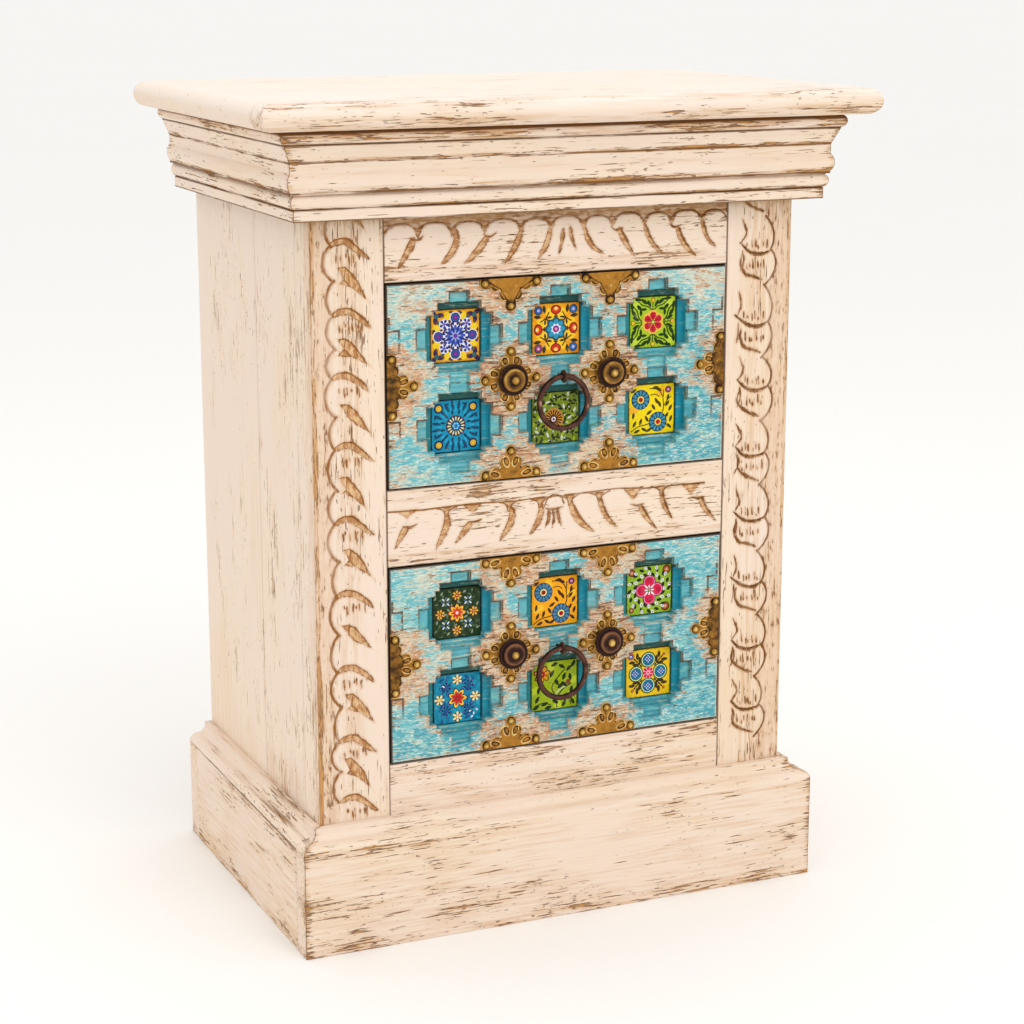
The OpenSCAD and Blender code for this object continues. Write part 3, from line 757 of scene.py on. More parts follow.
def ease_edges(bm, width, least, shortest):
    """Rounds the outward edges that are sharper than an angle and longer than a length."""
    edges = []
    for e in bm.edges:
        outward = len(e.link_faces) == 2 and e.is_convex
        if outward and e.calc_face_angle() > math.radians(least) and e.calc_length() > shortest:
            edges.append(e)
    round_off(bm, edges, width, 2, clamp_overlap=True)


def eased_board(node, material, slot="cream_paint", width=None):
    """Finished copy of a packed board with rounded edges."""
    bm = merged(node)
    ease_edges(bm, width or settings("paint").ease, 35.0, 0.0015)
    piece = publish(node + "_finished", bm, material, slot, node)
    weights = piece.modifiers.new("Even shading", "WEIGHTED_NORMAL")
    weights.keep_sharp = True


def dress(node, material):
    """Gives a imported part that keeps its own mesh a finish."""
    NODES[node].data.materials.clear()
    NODES[node].data.materials.append(material)


class BoardsOperator(bpy.types.Operator):
    """Side boards and bottom rail in worn cream paint"""

    bl_idname = "bedside.boards"
    bl_label = "Side boards and bottom rail"

    def execute(self, context):
        for side, _ in SIDES:
            for part, push, bands in (("front", -0.015, [("z", 100, 26, 0.03)]), ("rear", -0.05, [])):
                node = f"{side}_board_{part}"
                eased_board(node, worn_paint(node, "z", bands, extra=push, edge=0.3))
        bands = [("z", 124, 9, 0.05), ("z", 103, 11, 0.03)]
        eased_board("bottom_rail", worn_paint("bottom_rail", "x", bands, extra=0.026, edge=0.4))
        return {"FINISHED"}


class TopOperator(bpy.types.Operator):
    """Top board and its nosing strip"""

    bl_idname = "bedside.top"
    bl_label = "Top"

    def execute(self, context):
        eased_board("top_board", worn_paint("top_board", "x", extra=-0.045, edge=0.3), width=0.0003)
        bands = [("z", 596, 5, 0.05), ("y", -152, 5, 0.035)]
        eased_board("top_nosing", worn_paint("top_nosing", "x", bands, extra=-0.005, edge=0.35), width=0.0003)
        return {"FINISHED"}


# Rubbed bands and dark lines of the mouldings: axis, height, half width and strength. The dark lines are
# partly stain in the grooves and partly painted shade.
CROWN_FRONT = (("z", 586, 6, 0.10), ("z", 569.8, 2.4, 0.15), ("z", 549.8, 2.8, 0.17), ("z", 538.0, 2.0, 0.14))
CROWN_SIDE = (("z", 587, 5, 0.08), ("z", 569.4, 1.8, 0.13), ("z", 549.4, 2.0, 0.12), ("z", 537.8, 1.6, 0.12))
# In the crown, the line at 589.9 is a painted shadow under the top board, and the one at 529 is partly a
# painted shadow under the crown's foot.
CROWN_STAIN_AND_SHADOWS = (
    ("z", 529.0, 1.0, 0.9), ("z", 537.2, 1.1, 0.85), ("z", 548.0, 1.2, 0.9), ("z", 569.2, 0.9, 0.8),
    ("z", 581.0, 1.0, 0.9), ("z", 589.9, 2.3, 1.1),
)  # fmt: skip
PLINTH_BANDS = (("z", 0, 12, 0.06), ("z", 76, 4, 0.03), ("z", 38, 60, 0.0))
PLINTH_FAINT_STAIN_AND_SHADE = (("z", 78.0, 0.45, 0.55), ("z", 93.0, 0.6, 0.4))
PLINTH_STAIN_AND_SHADE = (("z", 78.0, 0.8, 0.85), ("z", 84.5, 0.6, 0.6), ("z", 93.0, 0.6, 0.55))


class CrownOperator(bpy.types.Operator):
    """Crown moulding: front and both sides"""

    bl_idname = "bedside.crown"
    bl_label = "Crown moulding"

    def execute(self, context):
        for side in ("front", "left", "right"):
            node = "crown_" + side
            grain, bands = ("x", CROWN_FRONT) if side == "front" else ("y", CROWN_SIDE)
            eased_board(node, worn_paint(node, grain, bands, CROWN_STAIN_AND_SHADOWS, True, 0.012, 0.3), width=0.00035)
        return {"FINISHED"}


class PlinthOperator(bpy.types.Operator):
    """Plinth boards with their moulding"""

    bl_idname = "bedside.plinth"
    bl_label = "Plinth"

    def execute(self, context):
        for side, grain, stain_and_shade_lines, push in (
            ("front", "x", PLINTH_FAINT_STAIN_AND_SHADE, 0.018),
            ("left", "y", PLINTH_STAIN_AND_SHADE, 0.0),
            ("right", "y", PLINTH_STAIN_AND_SHADE, 0.0),
            ("back", "x", (), 0.0),
        ):
            node = "plinth_" + side
            material = worn_paint(node, grain, PLINTH_BANDS, stain_and_shade_lines, side != "back", push, 0.35)
            eased_board(node, material, width=0.0006)
        return {"FINISHED"}


def bent(points, steps=5):
    """Points along a smooth line through the given ones."""
    given = np.array(points, float)
    padded = np.vstack([2 * given[0] - given[1], given, 2 * given[-1] - given[-2]])
    line = []
    for i in range(1, len(padded) - 2):
        p0, p1, p2, p3 = padded[i - 1 : i + 3]
        for t in np.arange(steps) / steps:
            curve = 2 * p1 + (p2 - p0) * t + (2 * p0 - 5 * p1 + 4 * p2 - p3) * t**2
            line.append(0.5 * (curve + (3 * p1 - p0 - 3 * p2 + p3) * t**3))
    return np.array(line + [given[-1]])


def nearest(line, x, z):
    """Distance of points to a line, how far along the line that is from 0 to 1, and height above it."""
    best, share, above = np.full(x.shape, 1e9), np.zeros(x.shape), np.zeros(x.shape)
    for i, (a, b) in enumerate(zip(line[:-1], line[1:])):
        step = b - a
        t = np.clip(((x - a[0]) * step[0] + (z - a[1]) * step[1]) / max(step @ step, 1e-9), 0, 1)
        rise = z - a[1] - t * step[1]
        gap = np.hypot(x - a[0] - t * step[0], rise)
        closer = gap < best
        share = np.where(closer, (i + t) / (len(line) - 1), share)
        best, above = np.where(closer, gap, best), np.where(closer, rise, above)
    return best, share, above


def taper(share, peak):
    """Width of a gouge along its length: pointed at the ends, widest at the peak."""
    if peak is None:
        return np.ones_like(share)
    rise, fall = 1.1 * peak, 1.1 * (1 - peak)
    return (share / peak) ** rise * ((1 - share) / (1 - peak)) ** fall


class CarvedFace:
    """Points of a face with their distance inside a cut, closeness to a dark line (partly painted shade on
    upper walls), and depth.
    """

    narrow = 1.4
    everywhere = slice(None)

    def __init__(self, x, z):
        self.x, self.z = x, z
        self.shore, self.groove, self.depth = np.full(x.shape, -3.0), np.zeros(x.shape), np.zeros(x.shape)

    def cut(self, where, inside, dark, deep):
        """Keeps the stronger of the old and the new cut at each point."""
        for values, new in ((self.shore, inside), (self.groove, dark), (self.depth, deep)):
            values[where] = np.maximum(values[where], new)

    def gouge(self, points, half, peak, deep):
        """A gouge along a smooth line. Narrow gouges are dark all across; wide ones get painted shade along
        their upper wall.
        """
        line = bent(points)
        low, high = line.min(0) - half - 3, line.max(0) + half + 3
        near = np.nonzero((self.x > low[0]) & (self.x < high[0]) & (self.z > low[1]) & (self.z < high[1]))[0]
        best, share, above = nearest(line, self.x[near], self.z[near])
        width = half * np.maximum(taper(share, peak), 0.02)
        if half < self.narrow or peak is None:
            dark = 1 - best / np.maximum(width, 0.5)
        else:
            # Painted shade along the upper wall of a wide gouge.
            dark = (1 - np.abs(best / width - 0.70) / 0.40) * (above > 0) * (width > 0.6)
        hollow = deep * np.sqrt(width / half) * np.clip(1 - (best / width) ** 2, 0, 1) ** 0.7
        self.cut(near, width - best if peak else -0.4 - best, dark, hollow)

    def chip(self, corners, deep):
        """A flat-walled chip inside a ring of corners, with painted shade along its upper edges."""
        closed = list(zip(corners, corners[1:] + corners[:1]))
        way = math.copysign(1, sum(x0 * z1 - x1 * z0 for (x0, z0), (x1, z1) in closed))
        inside, upper = np.full(self.x.shape, 99.0), np.full(self.x.shape, 99.0)
        for (x0, z0), (x1, z1) in closed:
            turn = (x1 - x0) * (self.z - z0) - (z1 - z0) * (self.x - x0)
            side = way * turn / math.hypot(x1 - x0, z1 - z0)
            inside = np.minimum(inside, side)
            if way * (x0 - x1) > 0:
                upper = np.minimum(upper, side)
        # Painted shade along the chip's upper edges.
        dark = (1 - np.abs(upper - 0.45) / 0.75) * (inside > -0.2)
        self.cut(self.everywhere, inside, dark, np.clip(inside * 0.9, 0, deep))

    def set_back(self, line, upright, way, deep):
        """Sets back everything past a line that runs upright or lies."""
        line = np.array(sorted(line, key=lambda point: point[1 if upright else 0]))
        along_line, across_line = (self.z, self.x) if upright else (self.x, self.z)
        limit = np.interp(along_line, line[:, 1 if upright else 0], line[:, 0 if upright else 1])
        past = way * (across_line - limit)
        fade = np.clip(1.4 - past / 10, 0, 1) if upright else 1.0
        # Ground that lies, above the top rail's arches, takes part of the gouge floors' brown: partly dirt,
        # partly painted shade under the crown.
        shore = np.minimum(past * 0.5 - 0.2, -0.55 if upright else 0.35)
        self.cut(self.everywhere, shore, 0, deep * np.clip(past / 1.0, 0, 1) * fade)


def carve(x, z, gouges, chips=(), ground=None):
    """The points of a face with all these cuts.

    A gouge is (points, half width, peak, depth), a chip is (corners, depth), and the ground is
    (line, whether the line runs upwards, side of the line, depth).
    """
    face = CarvedFace(x, z)
    for gouge in gouges:
        face.gouge(*gouge)
    for chip in chips:
        face.chip(*chip)
    if ground:
        face.set_back(*ground)
    return face


# Width of the plain strip round a carved face, and spacing of the points where nothing is carved.
RIM = 0.6
COARSE = 4.0


def spaced(low, high, fine_low, fine_high, step):
    """Positions from low to high, close together between fine_low and fine_high."""
    parts = [[low, low + RIM]]
    if fine_low - low > COARSE:
        count = max(2, round((fine_low - low) / COARSE) + 1)
        parts.append(np.linspace(low + RIM, fine_low, count)[1:])
    start = parts[-1][-1]
    end = min(fine_high, high - RIM)
    parts.append(np.linspace(start, end, round((end - start) / step) + 1)[1:])
    if high - RIM - end > 0.01:
        parts.append(np.linspace(end, high - RIM, max(2, round((high - end) / COARSE) + 1))[1:])
    return np.concatenate(parts + [[high]])


def grid_points(bm, xs, zs):
    """Lays a grid into a bmesh and says where in the rows and columns its points belong."""
    columns, rows = len(xs) - 1, len(zs) - 1
    bmesh.ops.create_grid(bm, x_segments=columns, y_segments=rows, size=0.5)
    flat = np.array([v.co[:2] for v in bm.verts]) + 0.5
    return xs[np.rint(flat[:, 0] * columns).astype(int)], zs[np.rint(flat[:, 1] * rows).astype(int)]


def carved_board(node, xs, zs, cuts, material):
    """A board whose front is carved: the face is a grid of points pushed in along the cuts."""
    lo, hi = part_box(node)
    bm = bmesh.new()
    x, z = grid_points(bm, xs, zs)
    face = carve(x, z, **cuts)
    tool_marks = 0.10 * np.sin(x * 0.31 + 1.3 * np.sin(z * 0.07)) * np.sin(z * 0.11 + 0.6 * np.sin(x * 0.13))
    at_rim = (x < xs[0] + 0.3) | (x > xs[-1] - 0.3) | (z < zs[0] + 0.3) | (z > zs[-1] - 0.3)
    y = lo.y / MM + np.where(at_rim, 0.55, face.depth + tool_marks + 0.10)
    gouge = bm.verts.layers.float.new("gouge")
    # The groove layer carries the dark lines: dark narrow gouges, and painted shade on the upper walls of
    # wide gouges and chips.
    groove = bm.verts.layers.float.new("groove")
    for vert, place, inside, line in zip(bm.verts, np.transpose((x, y, z)) * MM, face.shore, face.groove):
        vert.co, vert[gouge], vert[groove] = place, inside, line
    for vert in skirt(bm, hi.y):
        vert[gouge], vert[groove] = -3, 0
    bmesh.ops.holes_fill(bm, edges=[e for e in bm.edges if e.is_boundary], sides=0)
    bmesh.ops.recalc_face_normals(bm, faces=bm.faces)
    publish(node + "_carved", bm, material, "cream_paint", node, sharp=50)


# Notches of the scalloped groove on the stiles. Crescents and leaves start at them by turns.
LEFT_NOTCHES = (
    535, 510, 486, 462, 438, 417.5, 391, 367.5, 338, 314.5, 287, 261, 233, 206, 180, 153, 131, 108
)  # fmt: skip
RIGHT_NOTCHES = (516, 490.5, 465, 437, 410, 388, 362, 337, 312, 287, 261, 236, 210, 186, 161, 137, 112)


def left_marks(at, crescent, jig, deep, barbed):
    """Gouges and chips at a notch of the left stile: a broad crescent or a leaf of flat chips."""
    if crescent:
        tail = [at(12, -2.4 - 0.4 * jig), at(18, 1.6), at(24, 6.6), at(27.8 + jig, 10)]
        return [([at(-0.5, 0.2), at(5, -2.6), *tail], 2.5, 0.38, deep)], []
    tip = at(25.0 + jig, 12.5 - jig)
    head = [at(4.4, -8.6 + jig), at(9.9, -9.0 + jig), at(14.8, -4.6), at(9.0, -1.2)]
    blade = [at(9.9, -9.0 + jig), at(14.8, -4.8), at(19.9, 2.0), tip, at(14.6, 5.2), at(8.8, -0.4)]
    barb = [at(9.2, -1.0), at(14.4, 5.0), at(5.4 - 0.8 * jig, 2.4 + jig)]
    return [], [(head, 1.1), (blade, 1.7)] + ([(barb, 1.1)] if barbed else [])


def right_marks(at, crescent, jig, deep, barbed):
    """Gouges at a notch of the right stile: the left one's pattern as thin lines."""
    if not crescent:
        line = [at(6.5, 3.6), at(14.4, 6.6), at(21.0, 9.8 + jig), at(25.0, 16.4), at(24.2, 23.5)]
        return [(line, 1.25, 0.38, 1.2)], []
    line = [at(0, 0), at(8.8, -2.6 - 0.4 * jig), at(18.5, -0.6), at(27.4 + jig, 6.8)]
    below = [at(25.5, 24), at(22.0 + jig, 14), at(25.8, 7)]
    above = [at(25.2, 1), at(24 + jig, -7), at(26.6, -14)]
    return [(line, 1.3, 0.5, deep), (below, 0.75, 0.5, 0.8), (above, 0.75, 0.4, 0.8)], []


def scallop(swell, first, last):
    """A scallop between two dented ends: shares of its length and how far it swells there."""
    points = [(0.0, -first)]
    for share in (0.14, 0.34, 0.58, 0.82):
        points.append((share, swell * math.sin(math.pi * share) ** 0.8 - first * (1 - share) - last * share))
    return points + [(1.0, -last)]


def ticks(at, i, left, crescent):
    """Row of short strokes below a notch. The left stile has them below its crescents only."""
    strokes = []
    for k in range(6) if crescent or not left else ():
        inwards = 4.8 + 3.1 * k + 0.8 * math.sin(i * 3.7 + k * 2.1)
        start = 6.5 if left else (2.0 + 0.014 * (inwards - 9) ** 2 if crescent else 13.0)
        start += 0.9 * math.sin(i * 5.1 + k * 2.7)
        stroke = [at(inwards, start), at(inwards + 0.4, start + 4.6 + 2.2 * math.sin(i + 2 * k))]
        strokes.append((stroke, 0.55, 0.35, 0.4))
    return strokes


def stile_cuts(notches, side):
    """Scalloped groove along the outer edge of a stile, crescents and leaves falling inwards from it.

    The right stile has the pattern of the left one turned half round, cut as thin dark lines.
    """
    groove, deep = settings("carving").groove / MM, settings("carving").depth / MM
    left = side < 0
    marks, outer, dent, thick = (left_marks, 173.4, 1.5, 1.55) if left else (right_marks, 172.2, 4.6, 1.26)
    gouges, chips, border = [], [], []
    for i, height in enumerate(notches):
        crescent = i % 2 == 1
        edge = outer + 1.0 * math.sin(i * 1.7)

        def at(inwards, fall):
            return side * (edge - inwards), height + side * fall

        new_gouges, new_chips = marks(at, crescent, 1.3 * math.sin(i * 2.3 + side), deep, i % 6 > 0)
        gouges += new_gouges + ticks(at, i, left, crescent)
        chips += new_chips
        if i + 1 < len(notches):
            step = notches[i + 1] - height
            ends = (0.0, dent) if crescent else (dent, 0.0)
            swell = (6.0 if crescent else 5.0) + 0.5 * math.sin(i * 3.1)
            wave = [(side * (edge + bulge), height + step * share) for share, bulge in scallop(swell, *ends)]
            gouges.append((wave, groove * thick, None, 1.3))
            border += wave[:-1]
    return {"gouges": gouges, "chips": chips, "ground": (border, True, side, 0.55)}


ARCH_ENDS = (-134.0, -109.4, -84.0, -58.8, -31.0, -7.6, 17.8, 41.0, 66.6, 88.6, 113.8, 134.0)
# Gouges of the top rail: points, half width and where it is widest. Then the hooks of its leaves.
TOP_GOUGES = (
    ([(-112.0, 513.0), (-117.0, 503.5), (-124.4, 492.2)], 2.6, 0.3),
    ([(-81.0, 518.0), (-80.5, 508.5), (-85.0, 500.0), (-91.8, 493.8)], 2.6, 0.45),
    ([(-56.5, 511.5), (-62.0, 504.5), (-68.0, 498.0), (-75.0, 492.8)], 2.6, 0.3),
    ([(-30.0, 516.0), (-33.0, 508.0), (-37.5, 500.0), (-43.5, 491.5)], 2.3, 0.4),
    ([(-7.8, 517.0), (-9.6, 507.7), (-12.6, 501.0), (-17.6, 493.8)], 2.2, 0.45),
    ([(2.0, 514.5), (1.0, 505.0), (-1.5, 496.0)], 1.4, 0.35),
    ([(7.4, 515.5), (9.0, 507.0), (12.2, 499.0)], 1.4, 0.35),
    ([(18.6, 516.5), (21.0, 507.5), (26.0, 500.0), (34.4, 494.6)], 2.0, 0.45),
    ([(46.0, 513.2), (49.5, 506.0), (53.5, 499.5), (59.4, 491.6)], 2.2, 0.35),
    ([(66.8, 516.5), (69.0, 508.5), (74.0, 500.0), (82.2, 491.8)], 1.8, 0.45),
    ([(93.4, 512.5), (96.0, 505.0), (101.0, 497.0), (108.8, 489.6)], 2.2, 0.35),
    ([(114.2, 517.0), (115.4, 510.0), (118.6, 502.5), (125.4, 495.0)], 1.7, 0.45),
)
TOP_HOOKS = ((-56.5, 1), (46.0, -1), (93.4, -1), (-112.0, 1))
MIDDLE_LINES = (
    [(-134, 319.6), (-110, 318.8), (-86, 319.4), (-60, 319.4), (-36, 318.6), (-12, 319.6)],
    [(4, 319.4), (24, 319.6), (48, 320.4), (66, 318.6), (84, 318.6), (102, 318.6), (120, 318.2)],
)
MIDDLE_GOUGES = (
    ([(-120.0, 307.6), (-124.0, 301.5), (-128.8, 292.6)], 2.4, 0.3),
    ([(-89.0, 315.4), (-88.8, 308.0), (-91.6, 300.0), (-97.4, 289.2)], 2.7, 0.42),
    ([(-70.0, 306.6), (-75.0, 300.5), (-82.4, 292.0)], 2.5, 0.3),
    ([(-40.0, 315.0), (-37.6, 309.0), (-40.6, 300.0), (-47.6, 290.4)], 2.7, 0.42),
    ([(-15.2, 315.6), (-14.6, 309.0), (-17.6, 301.0), (-23.6, 292.6)], 2.3, 0.42),
    ([(-8.6, 309.6), (-8.8, 303.0), (-11.4, 296.6)], 1.3, 0.3),
    ([(-5.0, 309.6), (-4.4, 303.0), (-6.0, 296.0)], 1.0, 0.3),
    ([(-1.8, 310.0), (-0.6, 303.0), (1.6, 297.0)], 1.3, 0.3),
    ([(8.6, 315.0), (11.6, 306.5), (17.4, 298.0), (28.2, 289.2)], 2.7, 0.42),
    ([(32.6, 315.4), (34.6, 308.0), (38.6, 300.0), (46.8, 291.0)], 2.1, 0.4),
    ([(66.0, 306.4), (69.6, 299.5), (73.6, 294.0), (80.2, 286.8)], 2.2, 0.3),
    ([(84.0, 315.4), (85.2, 308.0), (88.0, 301.0), (93.0, 293.6)], 2.0, 0.4),
    ([(116.8, 307.2), (119.8, 300.5), (124.0, 294.5), (130.2, 288.4)], 2.2, 0.3),
)
MIDDLE_HOOKS = ((-120.0, 307.6, 1), (-70.0, 306.6, 1), (66.0, 306.4, -1), (116.8, 307.2, -1))
MIDDLE_TEETH = ((-119.6, 319.6, 313.6), (-68.8, 319.4, 313.4), (60.0, 319.8, 310.8), (108.6, 318.6, 310.2))
MIDDLE_STEMS = (-89.0, -40.0, -15.2, 8.6, 32.6, 84.0)
MIDDLE_SILL = [(-11.6, 311.0), (-5.0, 309.4), (2.6, 311.0)]
MIDDLE_ARCH = [(-12.0, 312.0), (-9.0, 318.4), (-3.6, 320.4), (1.6, 318.0), (3.6, 313.4)]


def tooth(x, half, top, tip, deep):
    """A three-cornered chip that hangs from a line."""
    return ((x - half, top), (x, tip), (x + half, top)), deep


def top_rail_cuts():
    """Arches along the top of the rail with gouges that lean away from the middle."""
    groove, deep = settings("carving").groove / MM, settings("carving").depth / MM
    gouges, border = [], []
    foot, crest = 517.0, 523.4
    for i, (left, right) in enumerate(zip(ARCH_ENDS, ARCH_ENDS[1:])):
        arch = []
        for share in (0.0, 0.12, 0.32, 0.66, 0.88, 1.0):
            rise = (crest - foot + 0.5 * math.sin(i * 2.9)) * math.sin(math.pi * share) ** 0.6
            arch.append((left + (right - left) * share, foot + rise))
        gouges.append((arch, groove, None, 1.2))
        border += arch[:-1]
    gouges += [(*gouge, deep) for gouge in TOP_GOUGES]
    for x, way in TOP_HOOKS:
        hook = [(x - 3.5 * way, 512.8), (x + 2 * way, 511.2), (x + 6.5 * way, 514.0)]
        gouges.append((hook, 0.8, 0.4, 0.8))
    chips = [tooth(x, 3.2, 519.4, 512.8, 1.1) for x in ARCH_ENDS[1:-1]]
    return {"gouges": gouges, "chips": chips, "ground": (border, False, 1, 0.9)}


def middle_rail_cuts():
    """Line along the middle rail with teeth, arches and leaning gouges."""
    deep = settings("carving").depth / MM
    gouges = [(line, 0.85, None, 0.9) for line in MIDDLE_LINES]
    gouges += [(*gouge, deep) for gouge in MIDDLE_GOUGES]
    for x, z, way in MIDDLE_HOOKS:
        hook = [(x - 3 * way, z + 0.4), (x + 2.5 * way, z - 0.4), (x + 8 * way, z + 1.2)]
        gouges.append((hook, 0.85, 0.4, 0.9))
    for x in MIDDLE_STEMS:
        for way in (-1, 1):
            arch = [(x + way * 0.8, 311.5), (x + way * 2.6, 316.6), (x + way * 8.5, 319.2)]
            gouges.append((arch, 0.9, None, 1.0))
    gouges += [(MIDDLE_SILL, 1.0, 0.5, 1.0), (MIDDLE_ARCH, 0.9, None, 1.0)]
    chips = [tooth(x, 7.4, top, tip, 1.3) for x, top, tip in MIDDLE_TEETH]
    chips += [tooth(x, 3.4, 319.2, 313.4, 1.0) for x in MIDDLE_STEMS]
    return {"gouges": gouges, "chips": chips}


class CarvedFrameOperator(bpy.types.Operator):
    """Carved stiles, top rail and middle rail"""

    bl_idname = "bedside.carved_frame"
    bl_label = "Carved frame"

    def execute(self, context):
        step = settings("carving").step / MM
        zs = spaced(0.0, TOP_LINE, 96.0, 531.0, step)
        for node, side, notches, fine, rubbed in (
            ("stile_left", -1, LEFT_NOTCHES, (-BODY_HALF, -141.0), 0.16),
            ("stile_right", 1, RIGHT_NOTCHES, (139.0, 183.0), 0.04),
        ):
            ends = sorted((side * OPENING_HALF, side * BODY_HALF))
            bands = [("x", side * 187.6, 2.8, rubbed), ("x", side * 162.0, 13.0, 0.02)]
            material = worn_paint(node, "z", bands, edge=0.35, gouged=True)
            carved_board(node, spaced(*ends, *fine, step), zs, stile_cuts(notches, side), material)
        xs = spaced(-OPENING_HALF, OPENING_HALF, -OPENING_HALF, OPENING_HALF, step)
        top, middle = (("z", 488, 9, 0.05), ("z", 526, 7, 0.05)), (("z", 330, 6, 0.03), ("z", 284, 7, 0.04))
        for node, bands, heights, cuts in (
            ("top_rail", top, (482.5, TOP_LINE, 484.0, 530.0), top_rail_cuts),
            ("middle_rail", middle, (279.0, 335.0, 284.0, 326.0), middle_rail_cuts),
        ):
            material = worn_paint(node, "x", bands, extra=0.02, edge=0.3, gouged=True)
            carved_board(node, xs, spaced(*heights, step), cuts(), material)
        return {"FINISHED"}


class InnerWoodOperator(bpy.types.Operator):
    """Unpainted wood: back boards, floor board, strips and drawer boxes"""

    bl_idname = "bedside.inner_wood"
    bl_label = "Bare wood"

    def execute(self, context):
        for i, node in enumerate(("back_board_left", "back_board_middle", "back_board_right")):
            eased_board(node, bare_wood(node + "_wood", "z", 0.05 * (i - 1), node), "bare_wood")
        lengthwise, crosswise = bare_wood("strip_wood", "y"), bare_wood("board_wood", "x")
        for node in ("upper_runners", "lower_runners", "guides", "kickers", "stops", "top_cleats"):
            dress(node, lengthwise)
        dress("floor_board", crosswise)
        for drawer in DRAWERS:
            for part, wood in (("side_left", lengthwise), ("side_right", lengthwise), ("back", crosswise)):
                eased_board(f"{drawer}_{part}", wood, "bare_wood")
            dress(drawer + "_bottom", crosswise)
        dress("cleat_screws", steel())
        return {"FINISHED"}


class DrawerFrontsOperator(bpy.types.Operator):
    """Drawer fronts with their stepped crosses, edges eased and a little uneven"""

    bl_idname = "bedside.drawer_fronts"
    bl_label = "Drawer fronts"

    def execute(self, context):
        for drawer in DRAWERS:
            node = drawer + "_front"
            lo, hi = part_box(node)
            bm = merged(node)
            ease_edges(bm, 0.00055, 60.0, 0.0025)
            for axis, count in ((0, 54), (2, 30)):
                for i in range(1, count):
                    slice_plane(bm, axis, lo[axis] + (hi[axis] - lo[axis]) * (i + 0.13) / count)
            self.unsettle(bm, lo, hi)
            publish(node + "_painted", bm, worn_turquoise(drawer), "turquoise_paint", node)
        return {"FINISHED"}

    def unsettle(self, bm, lo, hi):
        """Makes the stepped edges a little crooked."""
        for vert in bm.verts:
            sunk = vert.co.y / MM - FACE
            inset = min(vert.co.x - lo.x, hi.x - vert.co.x, vert.co.z - lo.z, hi.z - vert.co.z) / MM
            if sunk < 14.5 and inset > 4:
                spot = vert.co * 95
                vert.co.x += 0.42 * MM * soft_noise(spot)
                vert.co.z += 0.42 * MM * soft_noise(spot + Vector((9, 3, 5)))


